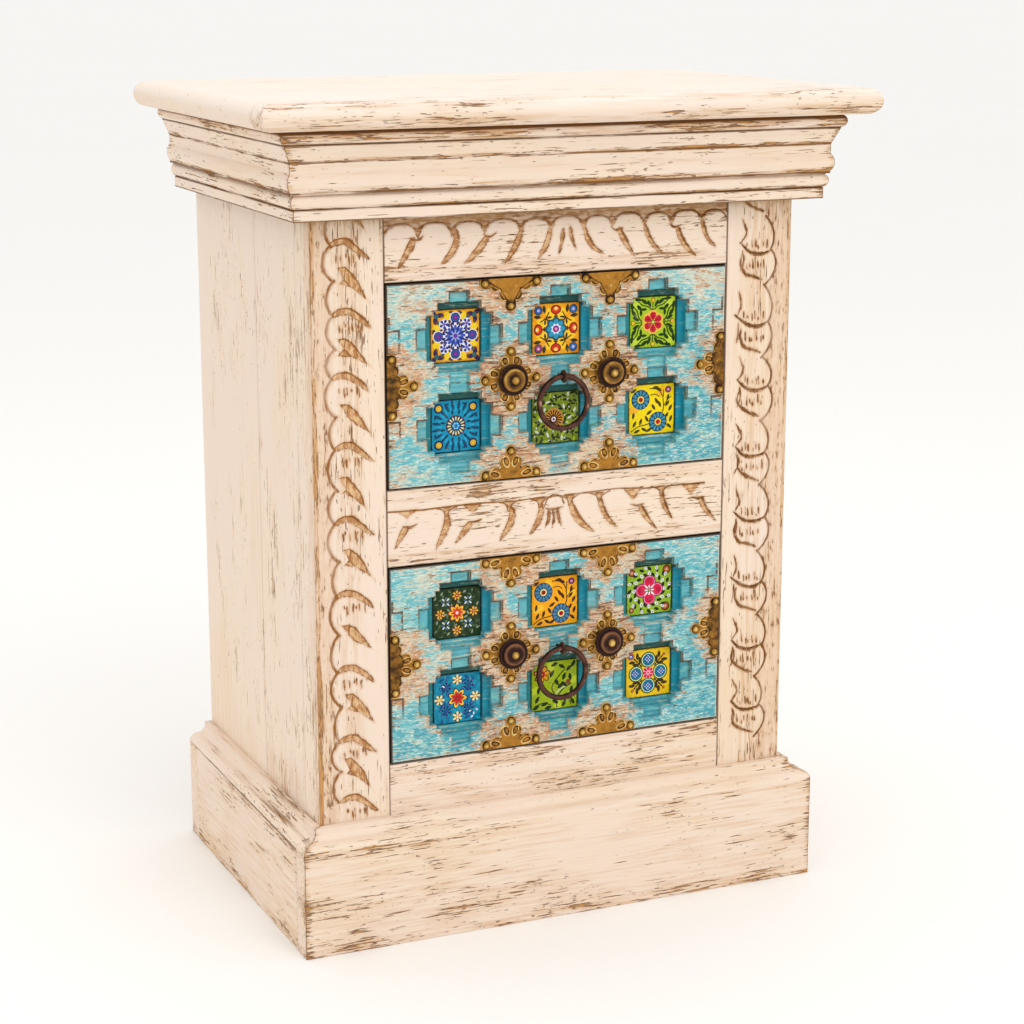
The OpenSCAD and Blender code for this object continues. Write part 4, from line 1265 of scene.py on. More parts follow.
class TileFace:
    """Raised glaze on one tile, placed in millimetres from the tile's middle."""

    face = FACE + 8.0
    thick = 6
    # Drops further out than this are left out, and no point of a drop goes past the limit.
    farthest = 18.2
    limit = 18.4
    # Each drop lies this much higher than the one before it, so later drops cover earlier ones.
    lift = 0.0022

    def __init__(self, bm, layer, x, z, ground):
        self.bm, self.layer, self.x, self.z = bm, layer, x, z
        self.high = settings("tile").relief / MM * 0.3
        self.count = 0
        verts = bmesh.ops.create_cube(bm, size=1.0)["verts"]
        bmesh.ops.scale(bm, verts=verts, vec=(TILE * MM, self.thick * MM, TILE * MM))
        bmesh.ops.translate(bm, verts=verts, vec=(x * MM, (self.face + self.thick / 2) * MM, z * MM))
        edges = list({e for v in verts for e in v.link_edges})
        others = set(bm.faces) - {f for v in verts for f in v.link_faces}
        round_off(bm, edges, settings("tile").round, 3)
        self.paint(set(bm.faces) - others, ground)

    def paint(self, faces, colour):
        tone = linear(colour)
        for face in faces:
            for loop in face.loops:
                loop[self.layer] = tone

    def blot(self, x, z, length, width, colour, turn=0.0, shape="round", around=10):
        """A raised drop of glaze: round, leaf (pointed at both ends) or petal (pointed at its foot)."""
        if max(abs(x), abs(z)) > self.farthest:
            return
        self.count += 1
        made = bmesh.ops.create_cone(
            self.bm, cap_ends=True, cap_tris=False, segments=around, radius1=0.5, radius2=0.44, depth=1.0
        )
        c, s = math.cos(math.radians(turn)), math.sin(math.radians(turn))
        for vert in made["verts"]:
            a, b, top = vert.co.x, vert.co.y, vert.co.z > 0
            if shape == "leaf":
                b *= max(1 - (2 * a) ** 2, 0.02) ** 0.35
            elif shape == "petal":
                b *= 1.15 * max(0.5 + a, 0.02) ** 0.55
            a, b = a * length, b * width
            place = x + a * c - b * s, z + a * s + b * c
            across, up = (max(min(part, self.limit), -self.limit) for part in place)
            front = self.face - (self.high + self.count * self.lift if top else 0)
            vert.co = ((self.x + across) * MM, front * MM, (self.z + up) * MM)
        self.paint({f for v in made["verts"] for f in v.link_faces}, colour)

    def spray(self, count, radius, length, width, colour, shape="petal", first=0.0, at=(0, 0), lean=0.0):
        """Drops set round a point, their length pointing outwards."""
        for i in range(count):
            angle = first + 360 / count * i
            turn = math.radians(angle)
            place = at[0] + radius * math.cos(turn), at[1] + radius * math.sin(turn)
            self.blot(*place, length, width, colour, angle + lean, shape)

    def disc(self, at, *rings):
        """Round drops on top of one another, each a diameter and a colour."""
        for size, colour in rings:
            self.blot(*at, size, size, colour, 0, "round", 16)

    def discs(self, radius, first, *rings):
        """Four discs round the tile's middle."""
        for _, x, z in round_places(radius, 4, first):
            self.disc((x, z), *rings)

    def flower(self, at, radius, petals, colour, edge, hearts, first=0.0, plump=1.0):
        """A flower with an edge in another colour under its petals, and discs at its heart."""
        wide = plump * radius * math.pi / petals * 1.25
        self.spray(petals, radius * 0.58, radius * 1.04, wide * 1.3, edge, "petal", first, at)
        self.spray(petals, radius * 0.53, radius * 0.88, wide, colour, "petal", first, at)
        self.disc(at, *hearts)

    def stem(self, points, colour, width):
        """A thin painted line."""
        line = bent(points, 4)
        for a, b in zip(line[:-1], line[1:]):
            step = b - a
            turn = math.degrees(math.atan2(step[1], step[0]))
            self.blot(*((a + b) / 2), np.hypot(*step) + width * 0.6, width, colour, turn, "round", 6)

    def leaves(self, spots, colour, length, width):
        for x, z, turn in spots:
            self.blot(x, z, length, width, colour, turn, "leaf", 8)

    def scatter(self, count, colours, length, width, seed):
        """Small leaves strewn over the whole tile."""
        side = math.ceil(math.sqrt(count))
        for i in range(side * side):
            row, column = divmod(i, side)
            wobble = math.sin(i * 12.9 + seed), math.sin(i * 7.3 + 2 * seed)
            x = (column + 0.5 + 0.36 * wobble[0]) / side * 36 - 18
            z = (row + 0.5 + 0.36 * wobble[1]) / side * 36 - 18
            self.blot(x, z, length, width, colours[i % len(colours)], i * 137.5 + 90 * wobble[0], "leaf", 8)


def round_places(radius, count, first=0.0):
    """Angle in degrees, x and z of places set evenly round a tile's middle."""
    for i in range(count):
        angle = first + 360 / count * i
        yield angle, radius * math.cos(math.radians(angle)), radius * math.sin(math.radians(angle))


def star_on_yellow(t):
    """White star with cobalt buds on orange yellow."""
    t.spray(8, 15.5, 6.5, 5.0, "f3ce22", "round", 22.5)
    for angle, x, z in round_places(20.5, 4, 45):
        t.spray(3, 2.6, 6.4, 3.6, "3f2555", "leaf", angle + 120, (x, z))
        t.spray(2, 4.6, 4.0, 2.2, "2c5f63", "leaf", angle + 150, (x, z))
        t.blot(x, z, 4.2, 3.6, "2f6b6b", angle, "round")
    t.spray(16, 17.4, 3.6, 1.8, "6c4a24", "leaf", 11.25, lean=80)
    t.discs(12.8, 0, (8.9, "e9e4f0"))
    t.discs(12.0, 45, (8.0, "e9e4f0"))
    t.disc((0, 0), (19.5, "f3eef5"))
    t.spray(16, 9.2, 4.0, 2.1, "232e7c", "leaf", 11.25)
    t.spray(8, 11.6, 2.6, 1.7, "27478c", "leaf", 22.5, lean=60)
    for angle, x, z in round_places(13.0, 4):
        t.disc((x, z), (7.8, "243a78"), (6.0, "3f5fa6"), (4.6, "3a2f94"), (2.8, "94308c"))
        t.spray(2, 5.4, 2.6, 1.3, "20286e", "leaf", angle + 125, (x, z))
    for angle, x, z in round_places(12.2, 4, 45):
        t.spray(5, 2.1, 3.0, 2.7, "2d3f92", "petal", angle, (x, z))
        t.disc((x, z), (1.9, "6b4fb4"))
    for angle, x, z in round_places(8.2, 8, 22.5):
        t.blot(x, z, 4.4, 1.1, "1d2463", angle + 24, "leaf")
        t.blot(x * 0.96, z * 0.96, 4.4, 1.1, "1d2463", angle - 24, "leaf")
    t.spray(8, 4.9, 6.6, 3.1, "3f5cb4")
    t.spray(8, 4.5, 6.0, 2.7, "25358c", "petal", 22.5)
    t.spray(8, 3.0, 3.2, 1.5, "8fa2e6", "leaf")
    t.disc((0, 0), (3.4, "3b2a8c"), (1.8, "8a3aa0"))


def garden_on_orange(t):
    """Turquoise flower with red flowers at four sides and a web of dark stems, on orange yellow."""
    t.spray(4, 21.0, 11.0, 9.0, "e88a10", "round", 45)
    t.spray(8, 12.0, 9.0, 6.5, "fbc91e", "round", 22.5)
    for angle, x, z in round_places(11.2, 4, 45):
        t.stem([(x * 0.5, z * 0.5), (x, z)], "33260a", 1.4)
        for way in (-1, 1):
            tip, outer, inner = (
                (x * out - z * way * beside, z * out + x * way * beside)
                for out, beside in ((1.12, 0.45), (1.5, 0.34), (0.86, 0.22))
            )
            t.stem([(x, z), tip], "33260a", 1.2)
            t.blot(*outer, 6.2, 2.8, "33300c", angle + 38 * way, "leaf")
            t.blot(*inner, 4.6, 1.9, "33300c", angle - 50 * way, "leaf")
    for angle, x, z in round_places(13.9, 4):
        t.blot(x, z, 7.0, 8.8, "7d1a14", angle, "round", 14)
        t.blot(x, z, 6.0, 7.6, "d0301c", angle, "round", 14)
        t.blot(x * 1.06, z * 1.06, 3.2, 4.2, "f6b92e", angle, "round")
        t.blot(x * 1.10, z * 1.10, 1.6, 2.2, "fbe6b4", angle, "round")
        t.blot(x * 0.70, z * 0.70, 3.0, 1.1, "33260a", angle, "leaf")
        t.blot(x * 0.66, z * 0.66, 4.2, 1.0, "33260a", angle + 90, "leaf")
    for (angle, x, z), colour in zip(round_places(19.6, 4, 45), ("3c74c4", "2c5fb0", "b0356e", "3c74c4")):
        t.disc((x, z), (7.0, "1c4f5a"), (5.4, colour), (2.2, "d9c7e6"))
    hearts = ((7.4, "e9e6f6"), (5.8, "6a2c9c"), (3.6, "c23a78"), (1.8, "f0b0c4"))
    t.flower((0, 0), 8.0, 8, "2f94b8", "125060", hearts, 0, 1.35)
    t.spray(8, 3.3, 1.6, 1.4, "f1eefa", "round", 22.5)


# Leaves of a quarter of the wreath: place across and up, lean in degrees and length.
WREATH_LEAVES = (
    (3.0, 13.8, 62, 6.4), (6.9, 15.4, 35, 7.2), (12.2, 17.0, 8, 6.6), (7.4, 9.7, 0, 5.6),
    (11.2, 10.9, 40, 5.8),
)  # fmt: skip


def rose_on_lime(t):
    """Red flower with yellow edges in a wreath of dark leaves, on lime green."""
    t.spray(4, 21.0, 10.0, 9.0, "c9df3c", "round", 45)
    for turn in range(4):
        angle = turn * QUARTER
        c, s = math.cos(angle), math.sin(angle)

        def turned(points, way):
            return [(a * way * c - b * s, a * way * s + b * c) for a, b in points]

        for way in (-1, 1):
            t.stem(turned([(0.8, 9.0), (4.0, 11.6), (8.4, 12.8), (12.0, 15.6)], way), "22400e", 1.1)
            for a, b, lean, long in WREATH_LEAVES:
                x, z = turned([(a, b)], way)[0]
                t.blot(x, z, long, long * 0.40, "1d380b", math.degrees(angle) + lean * way, "leaf")
        x, z = turned([(0, 16.2)], 1)[0]
        t.stem([(x * 0.55, z * 0.55), (x, z)], "22400e", 0.9)
        t.disc((x, z), (3.8, "7d5a12"), (3.0, "f6cf22"), (1.3, "d7862a"))
    hearts = ((4.0, "7d1022"), (3.2, "8bb63a"), (1.5, "f0e07a"))
    t.flower((0, 0), 8.4, 6, "c00d2c", "f0c24a", hearts, 30, 1.28)
    t.spray(6, 4.2, 3.0, 0.9, "7d0a20", "leaf", 30)


def dial_on_blue(t):
    """Ring of cream dashes with four yellow dots among dark flames, on blue."""
    t.spray(20, 15.2, 8.0, 2.3, "0b4468", "leaf", 9)
    t.spray(20, 12.6, 4.6, 1.3, "25a8cf", "leaf", 0)
    t.spray(12, 10.4, 4.4, 1.7, "0b3350", "leaf", 15)
    t.spray(8, 17.2, 3.0, 1.6, "16345a", "leaf", 22.5, lean=90)
    t.discs(18.8, 45, (7.2, "0f3358"), (5.0, "efc02c"), (3.0, "d99a1c"), (1.4, "f6da6a"))
    t.disc((0, 0), (15.6, "12395c"))
    t.spray(16, 5.3, 4.0, 1.5, "efe09c", "petal")
    t.spray(16, 6.9, 1.2, 1.2, "a0584a", "round")
    t.disc((0, 0), (6.8, "0f4f80"), (6.0, "2a9bd4"), (2.6, "0f5f9c"))
    t.spray(6, 2.0, 1.4, 0.8, "bfe3ee", "leaf")


def daisy_on_olive(t):
    """Brown and gold daisy on olive green, crowded with white and dark leaves."""
    t.scatter(100, ("1f2c0e", "2c3c10", "a9bd2c", "1a2410", "1f2c0e", "26340e", "d9decb"), 4.4, 2.0, 1.3)
    t.scatter(36, ("dde0d6", "1f2c0e"), 2.0, 1.2, 4.1)
    t.disc((-1.6, -1.2), (16.6, "c58a3a"), (15.4, "4a2413"))
    t.spray(18, 5.0, 5.0, 1.0, "dc9c34", "petal", 0, (-1.6, -1.2))
    t.disc((-1.6, -1.2), (5.0, "3a1830"), (4.2, "f1dfe8"), (2.0, "25101f"))


# Stems of the vines, each with its width, and their leaves: place across and up, and turn.
VINE_STEMS = (
    ([(-17, -16), (-11, -12.5), (-5, -11.5), (1, -10)], 1.0),
    ([(10, 14), (9.5, 7), (10, 1), (9, -3)], 1.0),
    ([(-2, 15.5), (3, 15), (7, 12.5), (9, 9)], 0.9),
    ([(-1, 10.5), (3, 11), (6, 9)], 0.8),
    ([(10, 2), (13, 6), (16, 8.5)], 0.8),
)
VINE_LEAVES = (
    (-15, -4, 80), (-14, -10.5, 60), (-9, -9, 70), (-6, -15, 150), (-12, -16, 20), (-2, -15.5, 30),
    (4, 6, 120), (1.5, 1.5, 125), (6.5, 3.5, 115), (13, 3.5, 50), (15.5, 0, 60), (13.5, 8, 75),
    (12.5, -5.5, 60), (14.5, -13.5, 140), (-2, -2.5, 35), (3, 16, 10), (-15, 14.5, 30), (16, -8, 70),
    (6, 14.5, 150), (-4, -7, 120),
)  # fmt: skip


def pair(t, leaf, petal, edge, ring, heart, dot):
    """Two round flowers among dark vines."""
    for points, width in VINE_STEMS:
        t.stem(points, leaf, width)
    t.leaves(VINE_LEAVES, leaf, 5.6, 2.4)
    for place in ((-9.2, 7.6), (5.2, -9.8)):
        t.disc(place, (15.2, edge))
        t.spray(12, 5.0, 4.6, 3.0, petal, "petal", 0, place)
        t.spray(12, 5.2, 1.8, 0.9, edge, "leaf", 15, place)
        t.disc(place, (7.0, "2c5f4e"), (6.2, ring), (4.2, heart), (1.8, "7c1408"))
    t.disc((13.6, 14.0), (5.2, dot), (2.6, "d98aa8"))


def pair_on_yellow(t):
    """Two teal flowers with red hearts among vines, on yellow."""
    t.spray(3, 15.0, 9.0, 6.0, "f3b41c", "round", -60)
    pair(t, "43400c", "3f8cab", "123f58", "f6dc54", "c6260e", "7a2f5c")


def pair_on_orange(t):
    """Two blue flowers with red hearts among vines, on orange yellow."""
    t.spray(4, 14.0, 9.0, 6.0, "fbc12a", "round", 20)
    pair(t, "452607", "4a7fa8", "1f4762", "ecec9c", "b50f1e", "6c2f66")


def stars_on_green(t):
    """Five red and yellow stars on dark green with pale leaflets."""
    t.scatter(120, ("16260f", "44603a", "1b2d12", "8fa08a", "203414", "5d7450"), 3.4, 1.5, 2.2)
    for angle, x, z in round_places(12.4, 4, 45):
        t.spray(4, 2.6, 3.0, 1.3, "dfe5de", "leaf", angle, (x, z))
        t.spray(4, 2.4, 2.4, 1.1, "4f74ac", "leaf", angle + 45, (x, z))
    for angle, x, z in round_places(13.2, 4):
        t.spray(7, 2.4, 3.8, 2.3, "7a3416", "petal", angle, (x, z))
        t.spray(7, 2.2, 3.2, 1.8, "efb43c", "petal", angle, (x, z))
        t.disc((x, z), (3.2, "a8281a"), (1.2, "f4d05c"))
    t.spray(8, 4.3, 6.6, 4.0, "8a3a18", "leaf")
    t.spray(8, 4.1, 5.8, 3.3, "f5bf3e", "leaf")
    t.spray(8, 2.8, 4.6, 2.2, "cf3218", "leaf")
    t.disc((0, 0), (2.8, "f3c8bc"), (1.3, "fdf0ea"))


def quatrefoil_on_lime(t):
    """Pink quatrefoil on lime green with white and black leaves."""
    for x, z, size in ((14.6, 14.8, 7.0), (-14.8, 14.4, 6.0), (13.8, -14.0, 7.4), (-14.8, -14.6, 4.6)):
        t.disc((x, z), (size, "7a3414"), (size * 0.7, "b5622e"), (size * 0.35, "e0b08a"))
    for radius, count, first in ((12.0, 12, 15), (16.6, 16, 0)):
        for angle, x, z in round_places(radius, count, first):
            t.blot(x, z, 4.6, 2.6, "17220e", angle + 50, "leaf")
    for radius, count, first in ((12.8, 12, 0), (17.6, 12, 10)):
        for angle, x, z in round_places(radius, count, first):
            t.blot(x, z, 3.8, 2.5, "ece8f2", angle + 20, "leaf")
            t.blot(x, z, 1.7, 0.9, "2f3a4c", angle + 20, "leaf")
    for ring in ((11.2, "8c1c4a"), (10.4, "e7a6c8"), (9.4, "dc1149")):
        t.discs(6.3, 0, ring)
    t.spray(4, 7.6, 4.2, 4.8, "b80b3c", "round")
    t.disc((0, 0), (6.4, "8a1240"))
    t.spray(4, 3.6, 4.6, 1.6, "e9edf0", "leaf", 45)
    t.spray(4, 2.6, 3.4, 1.4, "f4f4f2", "leaf")
    t.disc((0, 0), (2.8, "5d7a34"), (1.2, "c9d98a"))


def stars_on_blue(t):
    """Red star with yellow edge and small cream flowers, on blue."""
    t.scatter(64, ("1e93bd", "0a4f8c", "0d6aa2", "1aa0c0"), 5.0, 2.2, 5.2)
    for angle, x, z in round_places(12.6, 4, 45):
        t.spray(7, 3.4, 5.2, 2.1, "13305f", "petal", angle, (x, z))
        t.spray(7, 4.6, 1.6, 0.9, "6f8fd0", "leaf", angle, (x, z))
        t.disc((x, z), (2.8, "2f4a8c"))
    for angle, x, z in round_places(14.2, 4):
        t.disc((x, z), (7.2, "123f66"))
        t.spray(6, 2.3, 3.6, 2.5, "f0dc9a", "petal", angle, (x, z))
        t.disc((x, z), (2.6, "e2a42c"), (1.2, "fbf3dc"))
    for x, z in ((10, -11), (13, -13), (15.5, -10.5), (11.5, -15.5), (-11, 10)):
        t.blot(x, z, 2.6, 1.2, "e9eef2", x * 20, "leaf")
    t.spray(7, 4.9, 7.0, 4.6, "1c2c5e", "leaf")
    t.spray(7, 4.6, 6.4, 4.0, "f5c63e", "leaf")
    t.spray(7, 3.3, 5.4, 2.9, "c1201c", "leaf")
    t.disc((0, 0), (3.2, "7a0f16"), (1.2, "d8603c"))


BRANCH_STEMS = (
    ([(2, -18), (2.5, -10), (7, -4), (14, 0)], 1.1),
    ([(2.5, -10), (-2, -2), (3, 6), (9, 12)], 1.1),
    ([(-16, -15), (-9, -13), (-3, -15)], 0.9),
    ([(14, -17), (12, -11), (15, -7)], 0.9),
)
BRANCH_LEAVES = (
    (8, 6, 70), (2, 2, 120), (12, 12, 40), (-3, -8, 110), (9, -9, 30), (14, -5, 80), (6, 14, 150),
    (-2, 9, 60), (13, 5, 100), (-8, -14, 20), (15, -14, 120), (1, -13, 150), (-14, -10, 60), (-7, -4, 100),
    (5, -1, 40), (-13, -3, 80), (-5, -17, 10), (8, -15, 60), (-15, -16, 30), (15.5, 15, 60), (0, 16, 20),
    (8, 0, 140),
)  # fmt: skip


def branch_on_lime(t):
    """Red and yellow flower with dark branches, on lime green."""
    t.spray(4, 16.0, 9.0, 6.0, "c2d22a", "round", 10)
    for points, width in BRANCH_STEMS:
        t.stem(points, "20300c", width)
    t.leaves(BRANCH_LEAVES, "20300c", 6.2, 3.0)
    t.stem([(-3, -11), (3, -5), (9, -2)], "e9ecd8", 0.8)
    hearts = ((6.0, "c2321a"), (3.6, "7c1212"), (1.4, "f0a050"))
    t.flower((-10.2, 9.4), 6.6, 7, "eaa41c", "7c3a12", hearts, 10)
    t.disc((11.5, 1.4), (4.0, "8a4a24"))


def clover_on_yellow(t):
    """Four blue leaves round a red flower, on yellow."""
    for angle, x, z in round_places(14.4, 4, 45):
        t.stem([(x * 0.5, z * 0.5), (x * 1.2, z * 1.2)], "38290a", 1.5)
        for way in (-1, 1):
            for out, beside, lean in ((0.86, 0.17, 38), (1.12, 0.22, 45)):
                place = x * out - way * z * beside, z * out + way * x * beside
                t.blot(*place, 6.0, 2.8, "38290a", angle + lean * way, "leaf")
        t.disc((x * 1.30, z * 1.30), (2.6, "b5622a"))
    t.disc((-14.6, 14.0), (6.0, "c9682c"), (4.4, "2f4f9e"), (2.0, "d8e0ee"))
    for size, colour in (((12.8, 13.2), "3c5a1c"), ((12.0, 12.4), "dfeaa2"), ((10.8, 11.0), "116c8a")):
        for angle, x, z in round_places(10.2, 4):
            t.blot(x, z, *size, colour, angle, "round", 18)
    for angle, x, z in round_places(10.9, 4):
        t.blot(x, z, 7.0, 7.4, "22589c", angle, "round", 14)
        for i in range(9):
            a, b = (i % 3 - 1) * 1.7, (i // 3 - 1) * 1.7
            t.blot(x + (a - b) * 0.7, z + (a + b) * 0.7, 1.2, 1.0, "dfe8f6", 45, "round", 6)
    t.disc((0, 0), (9.6, "f0a0b2"))
    t.spray(8, 3.0, 3.6, 3.0, "cb1f40")
    t.disc((0, 0), (3.6, "f2b6c2"), (1.8, "b01236"))


# Ground colours and patterns of each row of tiles from the left.
DESIGNS = {
    "upper_tiles_top": (("eca31a", "f2a30c", "a6c61c"), (star_on_yellow, garden_on_orange, rose_on_lime)),
    "upper_tiles_bottom": (("048fb4", "7c8f24", "f6d800"), (dial_on_blue, daisy_on_olive, pair_on_yellow)),
    "lower_tiles_top": (("263d1a", "f8a80c", "93b528"), (stars_on_green, pair_on_orange, quatrefoil_on_lime)),
    "lower_tiles_bottom": (("0788a8", "a0b612", "efc414"), (stars_on_blue, branch_on_lime, clover_on_yellow)),
}


class TilesOperator(bpy.types.Operator):
    """Twelve glazed tiles with raised flower patterns"""

    bl_idname = "bedside.tiles"
    bl_label = "Tiles"

    def execute(self, context):
        material = glaze()
        for node, rows in DESIGNS.items():
            lo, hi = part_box(node)
            height = (lo.z + hi.z) / 2 / MM
            bm = bmesh.new()
            layer = bm.loops.layers.float_color.new("glaze")
            for x, ground, design in zip(COLUMNS, *rows):
                design(TileFace(bm, layer, x, height, ground))
            publish(node + "_glazed", bm, material, "tile_glaze", node, sharp=50)
        return {"FINISHED"}


# A plate in millimetres: round field, points with a straight neck, and the radius of its lobes.
PLATE_FIELD = 12.5
PLATE_POINT = 20.0
PLATE_NECK = 2.3
PLATE_LOBE = 4.2


def plate_reach(angle, cut):
    """Distance of a plate's outline from its middle at an angle, in millimetres."""
    reach = np.full(angle.shape, PLATE_FIELD)
    for quarter in range(4):
        local = (angle - quarter * QUARTER + math.pi) % (2 * math.pi) - math.pi
        neck = np.minimum(PLATE_POINT / np.cos(local), PLATE_NECK / np.maximum(np.abs(np.sin(local)), 1e-4))
        reach = np.maximum(reach, np.where(np.abs(local) < 0.6, neck, 0))
        lobes = [(PLATE_POINT, 0.0), (PLATE_FIELD, 4.8), (PLATE_FIELD, -4.8)]
        if cut and quarter % 2 == 0:
            lobes += [(PLATE_POINT, 3.3), (PLATE_POINT, -3.3)]
        for out, beside in lobes:
            off, far = local - math.atan2(beside, out), math.hypot(out, beside)
            inside = PLATE_LOBE**2 - (far * np.sin(off)) ** 2
            edge = far * np.cos(off) + np.sqrt(np.maximum(inside, 0))
            reach = np.where((inside > 0) & (np.cos(off) > 0), np.maximum(reach, edge), reach)
    return reach


def bell(value, place, width):
    """1 at a place, fading to 0 on both sides of it."""
    return np.exp(-(((value - place) / width) ** 2))


def leaf_loop(a, b, cut):
    """Bright line and dark inner edge of the leaf loops beside each point."""
    middle, lean, long, wide = ((12.6, 3.6), 0.30, 4.2, 2.3) if cut else ((13.2, 4.5), 0.32, 3.6, 2.5)
    s = (a - middle[0]) * math.cos(lean) + (b - middle[1]) * math.sin(lean)
    t = -(a - middle[0]) * math.sin(lean) + (b - middle[1]) * math.cos(lean)
    loop = np.sqrt((s / long) ** 2 + (t / wide) ** 2)
    return bell(loop, 1.0, 0.17), bell(loop, 0.68, 0.15)


def shield(a, b):
    """Level of a plate with a shield's edges in each quarter."""
    slope = (20.5 - a) * 0.60
    within = (a > 5.5) * (a < 16)
    blade, beside = bell(b - slope, 0.0, 0.45) * within, bell(b - slope, 1.2, 0.45) * within
    level = 0.62 - 0.42 * blade + 0.30 * beside - 0.40 * np.clip((a - 14.0) / 4.0, 0, 1) * (b < 4)
    return level - 0.20 * (b > slope) - 0.06 * np.sin(a * 1.1 + b)


def field(x, y, bright, dark):
    """Level of a plate with a plain dark field along its middle and loops beside it."""
    wave = 0.8 * np.sin(x * 0.5)
    loops = 0.50 + 0.50 * bright - 0.50 * dark
    level = np.where(np.abs(y) < 9.0 + wave, 0.30 + 0.04 * np.sin(x * 0.8), loops)
    return level - 0.40 * bell(np.abs(y) - 9.4, wave, 0.5)


def plate_relief(x, y, reach, radius, cut, kind):
    """Embossing of a plate from 0 to 1 inside a raised rim: leaf loops, a shield or a plain dark field, with
    a painted highlight and a painted shadow round each tack.
    """
    angle = np.arctan2(y, x)
    quarter = np.rint(angle / QUARTER) * QUARTER
    a = x * np.cos(quarter) + y * np.sin(quarter)
    b = np.abs(-x * np.sin(quarter) + y * np.cos(quarter))
    bright, dark = leaf_loop(a, b, cut)
    if kind == "shield":
        level = shield(a, b)
    elif kind == "field":
        level = field(x, y, bright, dark)
    else:
        rays = 0.08 * np.sin(angle * 22) * np.clip((radius - 4) / 6, 0, 1)
        level = 0.52 + rays + 0.50 * bright - 0.50 * dark
    border = reach - radius
    drawn_in = 3.3 * (np.abs(y) < np.abs(x)) if cut else 0.0
    seat = np.hypot(a - PLATE_POINT, b - drawn_in)
    # The raised rim is rubbed bright, and brighter round the tacks as a painted highlight.
    level = level + 0.90 * bell(border, 0.55, 0.42) * np.where(seat < 6.5, 1.0, 0.7)
    level = level - 0.36 * bell(border, 1.55, 0.50)
    # A dark ring just round each tack is a painted shadow.
    return np.clip(np.where(seat < 3.0, 0.12, level), 0, 1)


def add_plate(bm, layer, x, z, turn, cut, kind="loops"):
    """Adds one brass plate at a place on the face. A cut plate is halved later, at the drawer's edge."""
    brass = settings("brass")
    before = set(bm.verts)
    bmesh.ops.create_grid(bm, x_segments=brass.spokes, y_segments=34, size=0.5)
    made = [v for v in bm.verts if v not in before]
    flat = np.array([v.co[:2] for v in made]) + 0.5
    angle = flat[:, 0] * 2 * math.pi
    reach = plate_reach(angle, cut)
    radius = np.maximum(reach * flat[:, 1] ** 0.8, 0.02)
    px, py = radius * np.cos(angle), radius * np.sin(angle)
    relief = plate_relief(px, py, reach, radius, cut, kind)
    seated = 0.0 if cut else np.clip((11.9 - radius) / 0.8, 0, 1)
    swell = np.clip((reach - radius) / 0.6, 0, 1) ** 0.5
    height = swell * (1 - brass.relief / MM * (1 - np.maximum(relief, seated)))
    c, s = math.cos(turn), math.sin(turn)
    for vert, a, b, up, gleam in zip(made, px, py, height, relief):
        vert.co = ((x + a * c - b * s) * MM, (FACE - up) * MM, (z + a * s + b * c) * MM)
        vert[layer] = gleam
    bmesh.ops.remove_doubles(bm, verts=made, dist=3e-5)


def relief_mesh(node=None):
    """A bmesh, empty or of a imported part, with the layer that says where its brass shines."""
    bm = merged(node) if node else bmesh.new()
    return bm, bm.verts.layers.float.new("relief")


class PlatesOperator(bpy.types.Operator):
    """Brass plates: whole ones under the knobs and half ones along the edges"""

    bl_idname = "bedside.plates"
    bl_label = "Brass plates"

    def execute(self, context):
        brass = settings("brass")
        material = aged_brass("plate_brass", 0.05, brass.brown, brass.gold)
        for drawer in DRAWERS:
            for part, packed, add in (
                ("rosettes", "rosettes", self.add_whole),
                ("half_plates", "edge_plates", self.add_halves),
            ):
                bm, layer = relief_mesh()
                add(bm, layer, drawer)
                bmesh.ops.recalc_face_normals(bm, faces=bm.faces)
                self.face_front(bm)
                name = f"{drawer}_{part}_embossed"
                publish(name, bm, material, "gilt_brass", f"{drawer}_{packed}", sharp=60)
        return {"FINISHED"}

    def add_whole(self, bm, layer, drawer):
        for _, way in SIDES:
            add_plate(bm, layer, way * PLATE_X, MIDDLE[drawer], 0.0, False)

    def add_halves(self, bm, layer, drawer):
        """Plates on the edges of the drawer front, cut off there."""
        lo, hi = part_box(drawer + "_front")
        middle, half = MIDDLE[drawer], (hi.z - lo.z) / 2 / MM
        kind = "shield" if drawer == "upper" else "loops"
        for _, way in SIDES:
            add_plate(bm, layer, way * PLATE_X, middle + half, 0.0, True, kind)
            add_plate(bm, layer, way * PLATE_X, middle - half, 0.0, True)
            add_plate(bm, layer, way * hi.x / MM, middle, QUARTER, True, "field")
        for axis in (0, 2):
            slice_plane(bm, axis, lo[axis], -1, True)
            slice_plane(bm, axis, hi[axis], 1, True)
        skirt(bm, (FACE - 0.02) * MM)

    def face_front(self, bm):
        """Turns every plate's faces towards the front."""
        for face in bm.faces:
            if face.normal.y > 0.05:
                face.normal_flip()


class TacksOperator(bpy.types.Operator):
    """Round-headed tacks and the nails through the knobs"""

    bl_idname = "bedside.tacks"
    bl_label = "Tacks and nails"

    def execute(self, context):
        material = aged_brass("tack_brass", 0.0, "23130a", "a87a2c", "e6c678")
        for drawer in DRAWERS:
            for part, depth in (("tacks", 1.6), ("knob_nails", 2.0)):
                node = f"{drawer}_{part}"
                bm, layer = relief_mesh(node)
                # Each head is brightest at its front and darker towards the plate: partly rubbed brass,
                # partly a painted highlight.
                front = min(v.co.y for v in bm.verts)
                for vert in bm.verts:
                    vert[layer] = 1 - min(1.0, (vert.co.y - front) / MM / depth) * 0.9
                publish(node + "_brass", bm, material, "gilt_brass", node, sharp=50)
        return {"FINISHED"}


